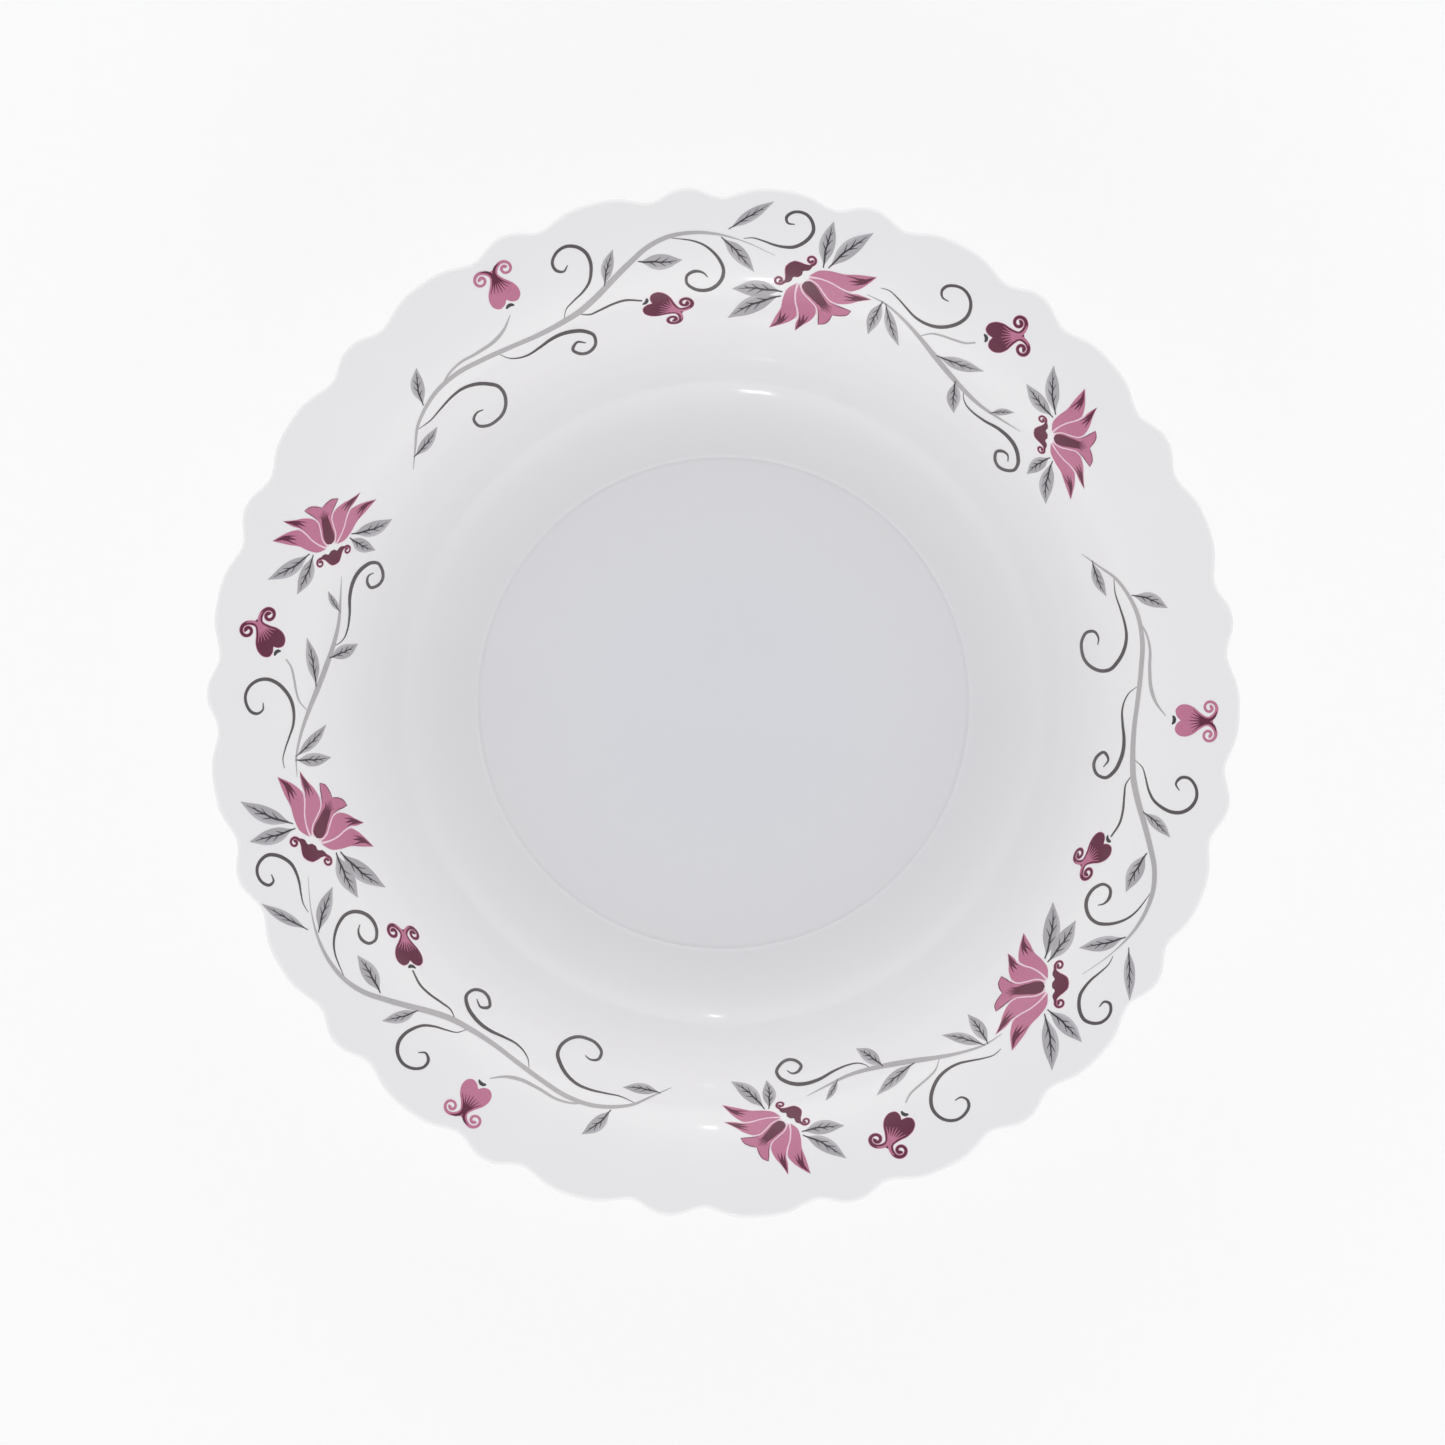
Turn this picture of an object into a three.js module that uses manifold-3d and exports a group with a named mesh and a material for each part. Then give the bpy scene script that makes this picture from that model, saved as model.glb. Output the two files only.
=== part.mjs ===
// A round serving bowl with a scalloped rim, decorated with three sprays of fired enamel.
// Millimetres, +Z up. The origin is the centre of the foot, in the plane that the bowl stands on.
// A wide lobe of the rim is centred on +X.
//
// The bowl is one pressed body: a floor, a wall and a lip with a foot ring under the floor.
// The border is a set of thin films of enamel that lie just above the inner surface: vines,
// leaves, tendrils, buds and flowers. One spray is drawn once and repeated round the rim.

import * as THREE from "three";
import { mergeVertices } from "three/addons/utils/BufferGeometryUtils.js";
import Module from "manifold-3d";

const wasm = await Module();
wasm.setup();

// ---------------------------------------------------------------- driving dimensions

const rimRadius = 115; // to the crest of a lobe
const depth = 44; // from the floor up to the rim, inside
const floorThickness = 4;
const wallThickness = 3.4;
const rimThickness = 2.6; // at the edge, which is fully rounded
const wellCornerRadius = 71.7; // where the planes of the floor and the wall would meet
const wellRadius = 28; // fillet between floor and wall
const lipWidth = 22.6; // from the corner of wall and lip out to the rim
const lipSlope = THREE.MathUtils.degToRad(8);
const flareRadius = 36; // fillet between wall and lip

const lobePairs = 17; // each pair is one wide and one narrow lobe
const wideShare = 0.61; // of a pair's angle
const notchDepth = 2.4; // from the crest of a lobe in to a notch
const wideRoundness = 1.65; // exponents that set how full each lobe is
const narrowRoundness = 1.17;
const scallopWidth = 17; // how far in from the rim the scallops reach
const dishDepth = 0.5; // each lobe is dished by this much at the rim

const footRadius = 48.5; // to the middle of the standing face
const footFaceWidth = 3;
const footHeight = 2.6; // from the table up to the underside of the floor
const footFlare = 1.1; // how much wider the ring is on each side where it meets the floor
const footEase = 0.5; // bevel on both edges of the standing face

const filmClearance = 0.15; // from the glaze to the underside of an enamel film, at the least
const stemFilm = 0.3; // thickness of the films; joined ones differ, so that they meet cleanly
const leafFilm = 0.2;
const finestHalfWidth = 0.09; // the sharpest tip that an enamel stroke is drawn with

// ---------------------------------------------------------------- inner surface of the bowl

const floorTop = footHeight + floorThickness;
const rimTop = floorTop + depth;
const shoulderRadius = rimRadius - lipWidth;
const lipRise = lipWidth * Math.tan(lipSlope);
const wallRise = depth - lipRise;
const wallRun = shoulderRadius - wellCornerRadius;
const wallSlope = Math.atan2(wallRise, wallRun);
const wallLength = Math.hypot(wallRise, wallRun);

// Each fillet takes a length of tangent from the lines that it joins, and shrinks if they are short.
const wellTangent = wellRadius * Math.tan(wallSlope / 2);
const flareTangent = flareRadius * Math.tan((wallSlope - lipSlope) / 2);
const filletShare = Math.min(
  1,
  wallLength / (wellTangent + flareTangent),
  wellCornerRadius / wellTangent,
  lipWidth / Math.cos(lipSlope) / flareTangent,
);
const well = {
  radius: wellRadius * filletShare,
  r: wellCornerRadius - wellTangent * filletShare,
  z: floorTop + wellRadius * filletShare,
};
const flare = {
  radius: flareRadius * filletShare,
  endR: shoulderRadius + flareTangent * filletShare * Math.cos(lipSlope),
};
flare.r = flare.endR + flare.radius * Math.sin(lipSlope);
flare.z = rimTop - (rimRadius - flare.endR) * Math.tan(lipSlope) - flare.radius * Math.cos(lipSlope);
flare.startR = flare.r - flare.radius * Math.sin(wallSlope);
well.endR = well.r + well.radius * Math.sin(wallSlope);

// Slope of the round (unscalloped) inner surface at a radius.
function slopeAt(r) {
  if (r <= well.r) return 0;
  if (r < well.endR) return Math.asin((r - well.r) / well.radius);
  if (r < flare.startR) return wallSlope;
  if (r < flare.endR) return Math.asin((flare.r - r) / flare.radius);
  return lipSlope;
}

function heightAt(r) {
  if (r <= well.r) return floorTop;
  if (r < well.endR) return well.z - Math.sqrt(well.radius ** 2 - (r - well.r) ** 2);
  if (r < flare.startR) return floorTop + (r - wellCornerRadius) * Math.tan(wallSlope);
  if (r < flare.endR) return flare.z + Math.sqrt(flare.radius ** 2 - (flare.r - r) ** 2);
  return rimTop - (rimRadius - r) * Math.tan(lipSlope);
}

// 0 at the crest of a lobe and 1 in a notch, round the rim.
function notchAt(angle) {
  const pair = 1 / lobePairs;
  const turn = angle / (2 * Math.PI) / pair;
  const at = turn - Math.floor(turn + 0.5); // -0.5 to 0.5, with a wide lobe at 0
  const wideHalf = wideShare / 2;
  const wide = Math.abs(at) <= wideHalf;
  const across = wide ? Math.abs(at) / wideHalf : (0.5 - Math.abs(at)) / (0.5 - wideHalf);
  return Math.sin((Math.PI / 2) * across ** (wide ? wideRoundness : narrowRoundness)) ** 2;
}

function scallopShare(r) {
  return THREE.MathUtils.smoothstep(r, rimRadius - scallopWidth, rimRadius);
}

// Moves a point of the round bowl to where the scallops put it.
function scalloped(r, angle, z) {
  const share = scallopShare(r);
  const notch = notchAt(angle);
  return { r: r - notchDepth * notch * share, z: z - dishDepth * (1 - notch) * share };
}

// The inner surface over a point seen from above, with its upward normal.
function surfacePoint(x, y) {
  const height = (px, py) => {
    const r = Math.hypot(px, py);
    const a = Math.atan2(py, px);
    let round = r; // the radius before scalloping, found by repeated correction
    for (let i = 0; i < 4; i++) round = r + notchDepth * notchAt(a) * scallopShare(round);
    return scalloped(round, a, heightAt(round)).z;
  };
  const step = 0.05;
  const z = height(x, y);
  const dx = (height(x + step, y) - height(x - step, y)) / (2 * step);
  const dy = (height(x, y + step) - height(x, y - step)) / (2 * step);
  const normal = new THREE.Vector3(-dx, -dy, 1).normalize();
  return { point: new THREE.Vector3(x, y, z), normal };
}

// ---------------------------------------------------------------- joining solids

function solidOf(geometry) {
  const bare = geometry.index ? geometry.toNonIndexed() : geometry.clone();
  bare.deleteAttribute("normal");
  bare.deleteAttribute("uv");
  const merged = mergeVertices(bare, 1e-4);
  return new wasm.Manifold(
    new wasm.Mesh({
      numProp: 3,
      vertProperties: merged.getAttribute("position").array,
      triVerts: new Uint32Array(merged.index.array),
    }),
  );
}

function join(geometries) {
  const solid = geometries.map(solidOf).reduce((whole, next) => whole.add(next));
  const mesh = solid.getMesh();
  const joined = new THREE.BufferGeometry();
  joined.setAttribute("position", new THREE.BufferAttribute(mesh.vertProperties, 3));
  joined.setIndex(new THREE.BufferAttribute(mesh.triVerts, 1));
  joined.computeVertexNormals();
  return joined;
}

// ---------------------------------------------------------------- the bowl body

const wideSteps = 4; // facets across a wide lobe and a narrow one
const narrowSteps = 2;
const wellSteps = 3; // facets up the fillet of the well, up the flare and round the edge
const flareSteps = 4;
const edgeSteps = 4;
const facets = lobePairs * (wideSteps + narrowSteps);

// Puts the lathe's even facets where the lobes need them, so that crests and notches have a vertex.
function facetAngle(even) {
  const steps = wideSteps + narrowSteps;
  const place = (even / (2 * Math.PI)) * facets + wideSteps / 2;
  const pair = Math.floor(place / steps + 1e-6);
  const within = place - pair * steps;
  const share =
    within <= wideSteps
      ? (within / wideSteps - 0.5) * wideShare
      : wideShare / 2 + ((within - wideSteps) / narrowSteps) * (1 - wideShare);
  return ((pair + share) / lobePairs) * 2 * Math.PI;
}

function innerStations() {
  const stations = [0, well.r];
  for (let i = 1; i <= wellSteps; i++) {
    stations.push(well.r + well.radius * Math.sin((wallSlope * i) / wellSteps));
  }
  for (let i = 0; i <= flareSteps; i++) {
    const slope = THREE.MathUtils.lerp(wallSlope, lipSlope, i / flareSteps);
    stations.push(flare.r - flare.radius * Math.sin(slope));
  }
  return stations;
}

function thicknessAt(r) {
  if (r < well.r) return floorThickness;
  if (r < flare.startR) {
    return THREE.MathUtils.mapLinear(r, well.r, flare.startR, floorThickness, wallThickness);
  }
  return THREE.MathUtils.mapLinear(r, flare.startR, rimRadius, wallThickness, rimThickness);
}

function bowlShell() {
  const edge = rimThickness / 2;
  const edgeR = rimRadius - edge * (1 + Math.sin(lipSlope));
  const stations = innerStations().filter((r) => r < edgeR - edge);
  stations.push(edgeR);
  const inside = stations.map((r) => new THREE.Vector2(r, heightAt(r)));
  const outside = inside.map(({ x, y }) => {
    const slope = slopeAt(x);
    const out = x === 0 ? 0 : thicknessAt(x) * Math.sin(slope);
    return new THREE.Vector2(x + out, y - thicknessAt(x) * Math.cos(slope));
  });
  const centre = new THREE.Vector2(edge * Math.sin(lipSlope), -edge * Math.cos(lipSlope)).add(inside.at(-1));
  const rounded = [];
  for (let i = 1; i < edgeSteps; i++) {
    const turn = lipSlope - Math.PI / 2 + (Math.PI * i) / edgeSteps;
    rounded.push(new THREE.Vector2(edge * Math.cos(turn), edge * Math.sin(turn)).add(centre));
  }
  const shell = new THREE.LatheGeometry([...outside, ...rounded, ...inside.reverse()], facets);
  const position = shell.getAttribute("position");
  for (let i = 0; i < position.count; i++) {
    const angle = facetAngle(Math.atan2(position.getX(i), position.getZ(i)));
    const moved = scalloped(Math.hypot(position.getX(i), position.getZ(i)), angle, position.getY(i));
    position.setXYZ(i, moved.r * Math.cos(angle), moved.r * Math.sin(angle), moved.z);
  }
  return shell;
}

function footRing() {
  const half = footFaceWidth / 2;
  const top = footHeight + floorThickness / 2;
  const profile = [
    [footRadius - half, 0],
    [footRadius + half, 0],
    [footRadius + half + footEase, footEase],
    [footRadius + half + footFlare, top],
    [footRadius - half - footFlare, top],
    [footRadius - half - footEase, footEase],
    [footRadius - half, 0],
  ].map(([r, z]) => new THREE.Vector2(r, z));
  return new THREE.LatheGeometry(profile, facets).rotateX(Math.PI / 2);
}

// ---------------------------------------------------------------- enamel strokes on the inner surface

// Between their edges the body's flat facets stand a little proud of the true curved surface.
const widestShare = Math.max(wideShare / wideSteps, (1 - wideShare) / narrowSteps);
const widestFacet = (widestShare * 2 * Math.PI) / lobePairs;
const facetRise = rimRadius * (1 - Math.cos(widestFacet / 2)) + dishDepth / wideSteps;
const filmGap = filmClearance + facetRise;

// The border is drawn for a rim of this radius, and keeps its distance from the rim if that changes.
const drawnRimRadius = 115;
const borderShift = rimRadius - drawnRimRadius;

// A place in a spray: degrees clockwise from its tail, and the radius from the bowl's axis.
function placeOf(spray, [degrees, radius]) {
  const angle = THREE.MathUtils.degToRad(spray.tail - degrees);
  const r = radius + borderShift;
  return new THREE.Vector3(r * Math.cos(angle), r * Math.sin(angle), 0);
}

// A motif lies flat in its own frame: forward along its heading, and left of it.
// Distances across the border are measured along the sloping surface.
function placeOfMotif(spray, motif, [forward, left]) {
  const heading = THREE.MathUtils.degToRad(motif.heading);
  const size = motif.size;
  const along = size * (forward * Math.cos(heading) - left * Math.sin(heading));
  const out = size * (forward * Math.sin(heading) + left * Math.cos(heading));
  const [degrees, radius] = motif.at;
  const steps = 8;
  let r = radius + borderShift;
  for (let i = 0; i < steps; i++) r += (out / steps) * Math.cos(slopeAt(r));
  return placeOf(spray, [degrees + THREE.MathUtils.radToDeg(along / r), r - borderShift]);
}

// A thin film that follows a route over the surface, in flat pieces of about the given length.
// halfWidths are spread evenly along it.
function stroke(route, halfWidths, step, film = stemFilm, across = 1) {
  const curve = new THREE.CatmullRomCurve3(route);
  const pieces = Math.ceil(curve.getLength() / step);
  const places = curve.getSpacedPoints(pieces);
  const widthAt = (share) => {
    const at = share * (halfWidths.length - 1);
    const i = Math.min(Math.floor(at), halfWidths.length - 2);
    return Math.max(finestHalfWidth, THREE.MathUtils.lerp(halfWidths[i], halfWidths[i + 1], at - i));
  };
  const lift = filmGap + (stemFilm - film) / 2;
  const strip = new THREE.BoxGeometry(1, 1, 1, pieces, across, 1);
  const position = strip.getAttribute("position");
  for (let i = 0; i < position.count; i++) {
    const share = position.getX(i) + 0.5;
    const station = Math.round(share * pieces);
    const ahead = places[Math.min(station + 1, pieces)].clone();
    const run = ahead.sub(places[Math.max(station - 1, 0)]).normalize();
    const side = 2 * position.getY(i) * widthAt(share);
    const x = places[station].x - run.y * side;
    const y = places[station].y + run.x * side;
    const { point, normal } = surfacePoint(x, y);
    point.addScaledVector(normal, lift + (position.getZ(i) + 0.5) * film);
    position.setXYZ(i, point.x, point.y, point.z);
  }
  return strip;
}

// Lengths of the flat pieces: the more a stroke curves, the shorter they are.
const stemStep = 7.8;
const stalkStep = 5.5;
const tendrilStep = 3.6;
const bladeStep = 3.2;
const petalStep = 4;
const bellStep = 2.5;
const heartStep = 1.6;
const curlStep = 1.9;

const stemWidths = [0.1, 0.3, 0.45, 0.55, 0.62, 0.65, 0.68, 0.72, 0.75, 0.7, 0.5, 0.3, 0.1];
const stalkWidths = [0.25, 0.3, 0.25, 0.12];
const tendrilWidths = [0.12, 0.22, 0.3, 0.38, 0.4, 0.36, 0.3, 0.14];
const heartWidths = [1.9, 3.5, 3.0, 1.8, 1.1, 0.9];
const curlWidths = [0.5, 0.5, 0.45, 0.35];
const bellWidths = [0.9, 1.3, 1.3, 1.4, 2.6, 4.2];
const outerPetalWidths = [0.3, 1.0, 1.4, 1.8, 1.2, 0.1];
const innerPetalWidths = [0.3, 0.8, 1.2, 1.5, 0.9, 0.1];
const capWidths = [0.25, 0.3, 0.4, 0.9, 1.4, 0.9, 0.4, 0.3, 0.25];

function stem(spray, points) {
  return stroke(points.map((p) => placeOf(spray, p)), stemWidths, stemStep);
}

function stalk(spray, points) {
  return stroke(points.map((p) => placeOf(spray, p)), stalkWidths, stalkStep);
}

function tendril(spray, points) {
  return stroke(points.map((p) => placeOf(spray, p)), tendrilWidths, tendrilStep);
}

// A leaf's blade from its base to its tip, bowed to one side.
function blade(base, tip, width, bow) {
  const middle = base.clone().lerp(tip, 0.5);
  const run = tip.clone().sub(base).normalize();
  middle.add(new THREE.Vector3(-run.y * bow, run.x * bow, 0));
  const half = width / 2;
  return stroke([base, middle, tip], [0.15, 0.8 * half, half, 0.75 * half, 0.1], bladeStep, leafFilm);
}

function leaf(spray, { base, tip, width, bow }) {
  return blade(placeOf(spray, base), placeOf(spray, tip), width, bow);
}

// ---------------------------------------------------------------- the border's layout, one spray

const longVine = {
  stem: [
    [0, 86.8], [2, 88.9], [5, 91.6], [9, 94.1], [13, 94.7], [17, 93.7], [21, 92.5], [26, 91.9], [31, 92.6],
    [35, 94.3], [38, 97.2], [41, 100.2], [44, 103.1], [47, 104.5], [50, 104.6], [53, 104.0], [56, 102.5],
    [59.8, 100.2],
  ],
  stalks: [
    [[10, 94.4], [13, 95.8], [16, 95.8], [20, 95.5], [22.5, 96.4], [24.4, 99.2]],
    [[32.4, 92.8], [33.8, 91.7], [38.5, 92.5], [41.2, 91.9]],
  ],
  leaves: [
    { base: [1.2, 88.0], tip: [6.9, 88.9], width: 1.8, bow: -0.4 },
    { base: [7.4, 93.4], tip: [10.3, 100.9], width: 3.0, bow: 0.5 },
    { base: [36.4, 95.6], tip: [39.4, 103.7], width: 2.0, bow: 0.5 },
    { base: [41.6, 100.6], tip: [47.4, 99.2], width: 3.2, bow: 0.3 },
    { base: [52.6, 104.1], tip: [57.0, 96.4], width: 3.0, bow: 0.3 },
  ],
  tendrils: [
    [
      [4.6, 91.4], [6.5, 91.0], [12, 91.4], [16, 89.6], [17.6, 86.0], [16.3, 82.3], [14.3, 81.4],
      [12.1, 82.2], [11.4, 83.8], [12.9, 85.3],
    ],
    [
      [20.2, 92.7], [22.5, 89.6], [29.5, 90.1], [33.0, 88.7], [33.8, 86.5], [32.4, 84.4], [30.6, 84.5],
      [29.7, 85.9], [30.8, 87.2],
    ],
    [
      [30.5, 92.7], [32.5, 95.8], [35.2, 98.4], [36.1, 102.3], [35.1, 106.3], [33.6, 107.4], [32.0, 106.1],
      [31.7, 103.8], [32.8, 102.6],
    ],
    [
      [46.4, 104.2], [48.5, 103.5], [51.3, 101.6], [52.9, 97.6], [51.9, 93.0], [49.7, 92.1], [47.9, 93.5],
      [48.0, 95.6], [49.6, 96.6],
    ],
  ],
};

const shortVine = {
  stem: [
    [72.4, 96.5], [74.5, 96.2], [76.5, 95.6], [79, 94.5], [81.5, 93.0], [84, 91.5], [86.5, 90.0],
    [89, 88.9], [91.5, 88.2], [94, 88.0], [97, 88.4], [100.2, 89.7],
  ],
  stalks: [[[80.8, 92.9], [83, 94.9], [86.8, 96.5], [88.2, 98.3]]],
  leaves: [
    { base: [75.0, 96.2], tip: [74.3, 88.6], width: 2.4, bow: -0.3 },
    { base: [75.6, 96.0], tip: [79.1, 89.1], width: 2.4, bow: -0.3 },
    { base: [85.0, 90.8], tip: [91.0, 94.1], width: 2.1, bow: -0.3 },
    { base: [88.8, 89.0], tip: [91.3, 83.1], width: 2.8, bow: -0.2 },
    { base: [95.4, 88.1], tip: [97.9, 91.6], width: 1.2, bow: 0.2 },
  ],
  tendrils: [
    [
      [90.4, 88.6], [91.5, 86.5], [93.5, 85.8], [100.5, 87.2], [103.5, 86.0], [104.3, 83.3], [102.6, 81.5],
      [100.8, 82.0], [100.4, 83.4], [101.5, 84.5],
    ],
  ],
};

const looseLeaf = { base: [54.0, 105.9], tip: [58.8, 111.9], width: 2.6, bow: 0.1 };
const looseTendrils = [
  [
    [55.5, 103.5], [57.2, 103.6], [60.3, 102.5], [62.5, 103.3], [63.8, 106.7], [62.6, 110.2], [61.2, 110.2],
    [60.3, 108.6], [61.1, 107.5],
  ],
  [
    [73.7, 98.9], [75.3, 98.9], [78.5, 96.9], [81, 96.0], [83.4, 97.3], [85.4, 101.6], [84.4, 105.7],
    [82.6, 106.5], [81.0, 104.9], [81.2, 102.8],
  ],
];

const buds = {
  outer_bud: { at: [24.7, 101.2], heading: 90, size: 1 },
  inner_bud: { at: [42.5, 90.9], heading: -33, size: 1 },
  short_vine_bud: { at: [89.1, 100.6], heading: 42, size: 0.97 },
};
const flowers = {
  large_flower: { at: [63.5, 96.2], heading: -45, size: 1 },
  small_flower: { at: [103.9, 94.0], heading: 41, size: 0.86 },
};

// ---------------------------------------------------------------- the motifs, in their own frames

// A vine with everything that grows from it, as one film.
function vine(spray, plan) {
  return join([
    stem(spray, plan.stem),
    ...plan.stalks.map((points) => stalk(spray, points)),
    ...plan.leaves.map((one) => leaf(spray, one)),
    ...plan.tendrils.map((points) => tendril(spray, points)),
  ]);
}

// A stroke in a motif's own frame, on its left (side 1) or mirrored to its right (side -1).
function motifStroke(spray, motif, side, points, halfWidths, step, film, across) {
  const route = points.map(([forward, left]) => placeOfMotif(spray, motif, [forward, left * side]));
  const widths = halfWidths.map((width) => width * motif.size);
  return stroke(route, widths, step, film, across);
}

// A bud: a heart with a narrow neck that ends in two curls.
function bud(spray, motif) {
  const middle = [[0, 0], [3, 0], [6.6, 0]];
  const heart = motifStroke(spray, motif, 1, middle, heartWidths, heartStep, stemFilm, 2);
  const curls = [1, -1].map((side) => {
    const route = [[5.9, 0.3], [7.6, 0.9], [9.0, 2.0], [9.1, 3.7], [7.8, 4.6], [6.6, 4.0]];
    return motifStroke(spray, motif, side, route, curlWidths, curlStep, leafFilm);
  });
  return join([heart, ...curls]);
}

// Five petals that spring from one point: a bell in the middle and two blades on each side.
function petals(spray, motif) {
  const middle = [[0, 0], [6, 0], [12, 0]];
  const outer = [[0.2, 0.4], [1.6, 4.2], [4.2, 6.6], [6.4, 9.1], [7.3, 11.5], [7.8, 14.5]];
  const inner = [[0.4, 0.2], [3.0, 2.7], [6.9, 3.7], [8.9, 4.9], [10.6, 7.4], [11.4, 10.1]];
  return join([
    motifStroke(spray, motif, 1, middle, bellWidths, bellStep, stemFilm, 2),
    motifStroke(spray, motif, 1, outer, outerPetalWidths, petalStep, leafFilm),
    motifStroke(spray, motif, 1, inner, innerPetalWidths, petalStep, leafFilm),
    motifStroke(spray, motif, -1, outer, outerPetalWidths, petalStep, leafFilm),
    motifStroke(spray, motif, -1, inner, innerPetalWidths, petalStep, leafFilm),
  ]);
}

// The curled cap behind the petals.
function cap(spray, motif) {
  const half = [[-2.8, 0], [-2.5, 2], [-1.9, 3.6], [-2.2, 5.0], [-3.3, 5.2], [-3.7, 4.3]];
  const route = [...half.slice(1).reverse(), ...half.map(([u, v]) => [u, -v])];
  return motifStroke(spray, motif, 1, route, capWidths, curlStep);
}

// Two leaves on one side of a flower, joined at their bases.
function flowerLeaves(spray, motif, side) {
  const place = ([u, v]) => placeOfMotif(spray, motif, [u, v * side]);
  const long = blade(place([0.9, 6.2]), place([-0.7, 19.8]), 3.1 * motif.size, 0.6 * side);
  const short = blade(place([0.9, 6.2]), place([-7.2, 13.5]), 2.8 * motif.size, 0.4 * side);
  return join([long, short]);
}

// ---------------------------------------------------------------- the object

// The angle at which each spray's tail was laid, not quite evenly, as such transfers are by hand.
const sprays = [
  { name: "spray_1", tail: 144.05 },
  { name: "spray_2", tail: 23.55 },
  { name: "spray_3", tail: 263.35 },
];

const looks = {
  glaze: { color: 0xf1f1f4, roughness: 0.12, metalness: 0 },
  grey: { color: 0xa9a8ac, roughness: 0.25, metalness: 0 },
  charcoal: { color: 0x58565a, roughness: 0.25, metalness: 0 },
  pink: { color: 0xb8708f, roughness: 0.25, metalness: 0 },
  plum: { color: 0x6b3047, roughness: 0.25, metalness: 0 },
};

const bowl = new THREE.Group();

function addPiece(name, geometry, look) {
  const mesh = new THREE.Mesh(geometry, new THREE.MeshStandardMaterial(looks[look]));
  mesh.name = name;
  bowl.add(mesh);
}

addPiece("bowl_body", join([bowlShell(), footRing()]), "glaze");

for (const spray of sprays) {
  addPiece(`${spray.name}_long_vine`, vine(spray, longVine), "grey");
  addPiece(`${spray.name}_short_vine`, vine(spray, shortVine), "grey");
  addPiece(`${spray.name}_loose_leaf`, leaf(spray, looseLeaf), "grey");
  addPiece(`${spray.name}_long_tendril`, tendril(spray, looseTendrils[0]), "charcoal");
  addPiece(`${spray.name}_short_tendril`, tendril(spray, looseTendrils[1]), "charcoal");
  for (const [name, motif] of Object.entries(buds)) {
    addPiece(`${spray.name}_${name}`, bud(spray, motif), name === "outer_bud" ? "pink" : "plum");
  }
  for (const [name, motif] of Object.entries(flowers)) {
    addPiece(`${spray.name}_${name}`, petals(spray, motif), "pink");
    addPiece(`${spray.name}_${name}_cap`, cap(spray, motif), "plum");
    addPiece(`${spray.name}_${name}_left_leaves`, flowerLeaves(spray, motif, 1), "grey");
    addPiece(`${spray.name}_${name}_right_leaves`, flowerLeaves(spray, motif, -1), "grey");
  }
}

export default bowl;
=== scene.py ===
import math
from typing import NamedTuple

import bpy
from bpy.props import FloatProperty, FloatVectorProperty, IntProperty, PointerProperty
from mathutils import Euler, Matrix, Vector
from mathutils.geometry import delaunay_2d_cdt


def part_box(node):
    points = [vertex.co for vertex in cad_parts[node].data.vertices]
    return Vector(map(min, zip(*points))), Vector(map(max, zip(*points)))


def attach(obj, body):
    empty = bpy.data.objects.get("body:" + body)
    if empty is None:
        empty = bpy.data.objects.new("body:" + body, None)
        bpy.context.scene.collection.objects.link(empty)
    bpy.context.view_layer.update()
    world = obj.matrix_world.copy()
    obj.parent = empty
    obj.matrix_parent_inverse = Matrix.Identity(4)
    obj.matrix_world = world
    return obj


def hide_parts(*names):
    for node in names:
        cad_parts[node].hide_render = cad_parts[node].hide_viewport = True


bl_info = {
    "name": "Scalloped serving bowl",
    "version": (1, 0, 0),
    "blender": (4, 5, 0),
    "location": "3D View > Sidebar > Bowl",
    "description": "Builds a scalloped serving bowl with a fired enamel border, and a studio round it",
    "category": "Add Mesh",
}

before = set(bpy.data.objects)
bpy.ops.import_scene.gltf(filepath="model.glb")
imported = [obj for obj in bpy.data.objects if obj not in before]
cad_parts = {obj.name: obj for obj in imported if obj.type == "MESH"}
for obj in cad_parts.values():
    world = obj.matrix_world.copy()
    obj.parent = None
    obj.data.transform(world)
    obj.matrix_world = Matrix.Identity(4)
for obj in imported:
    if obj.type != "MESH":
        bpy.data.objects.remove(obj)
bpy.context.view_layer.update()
BODY_LOW, BODY_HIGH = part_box("bowl_body")

MM = 0.001
TURN = 2 * math.pi
BODY = "root"
RIM_EASE = 0.0002  # the smooth rim stays this far inside the box of the faceted body


# ------------------------------------------------------------------ settings


def length_prop(name, description, default):
    return FloatProperty(name=name, description=description, default=default, unit="LENGTH")


def angle_prop(name, description, degrees):
    return FloatProperty(name=name, description=description, default=math.radians(degrees), unit="ROTATION")


def factor_prop(name, description, default):
    return FloatProperty(name=name, description=description, default=default, subtype="FACTOR")


def colour_prop(name, description, default):
    return FloatVectorProperty(name=name, description=description, default=default, subtype="COLOR")


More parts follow.
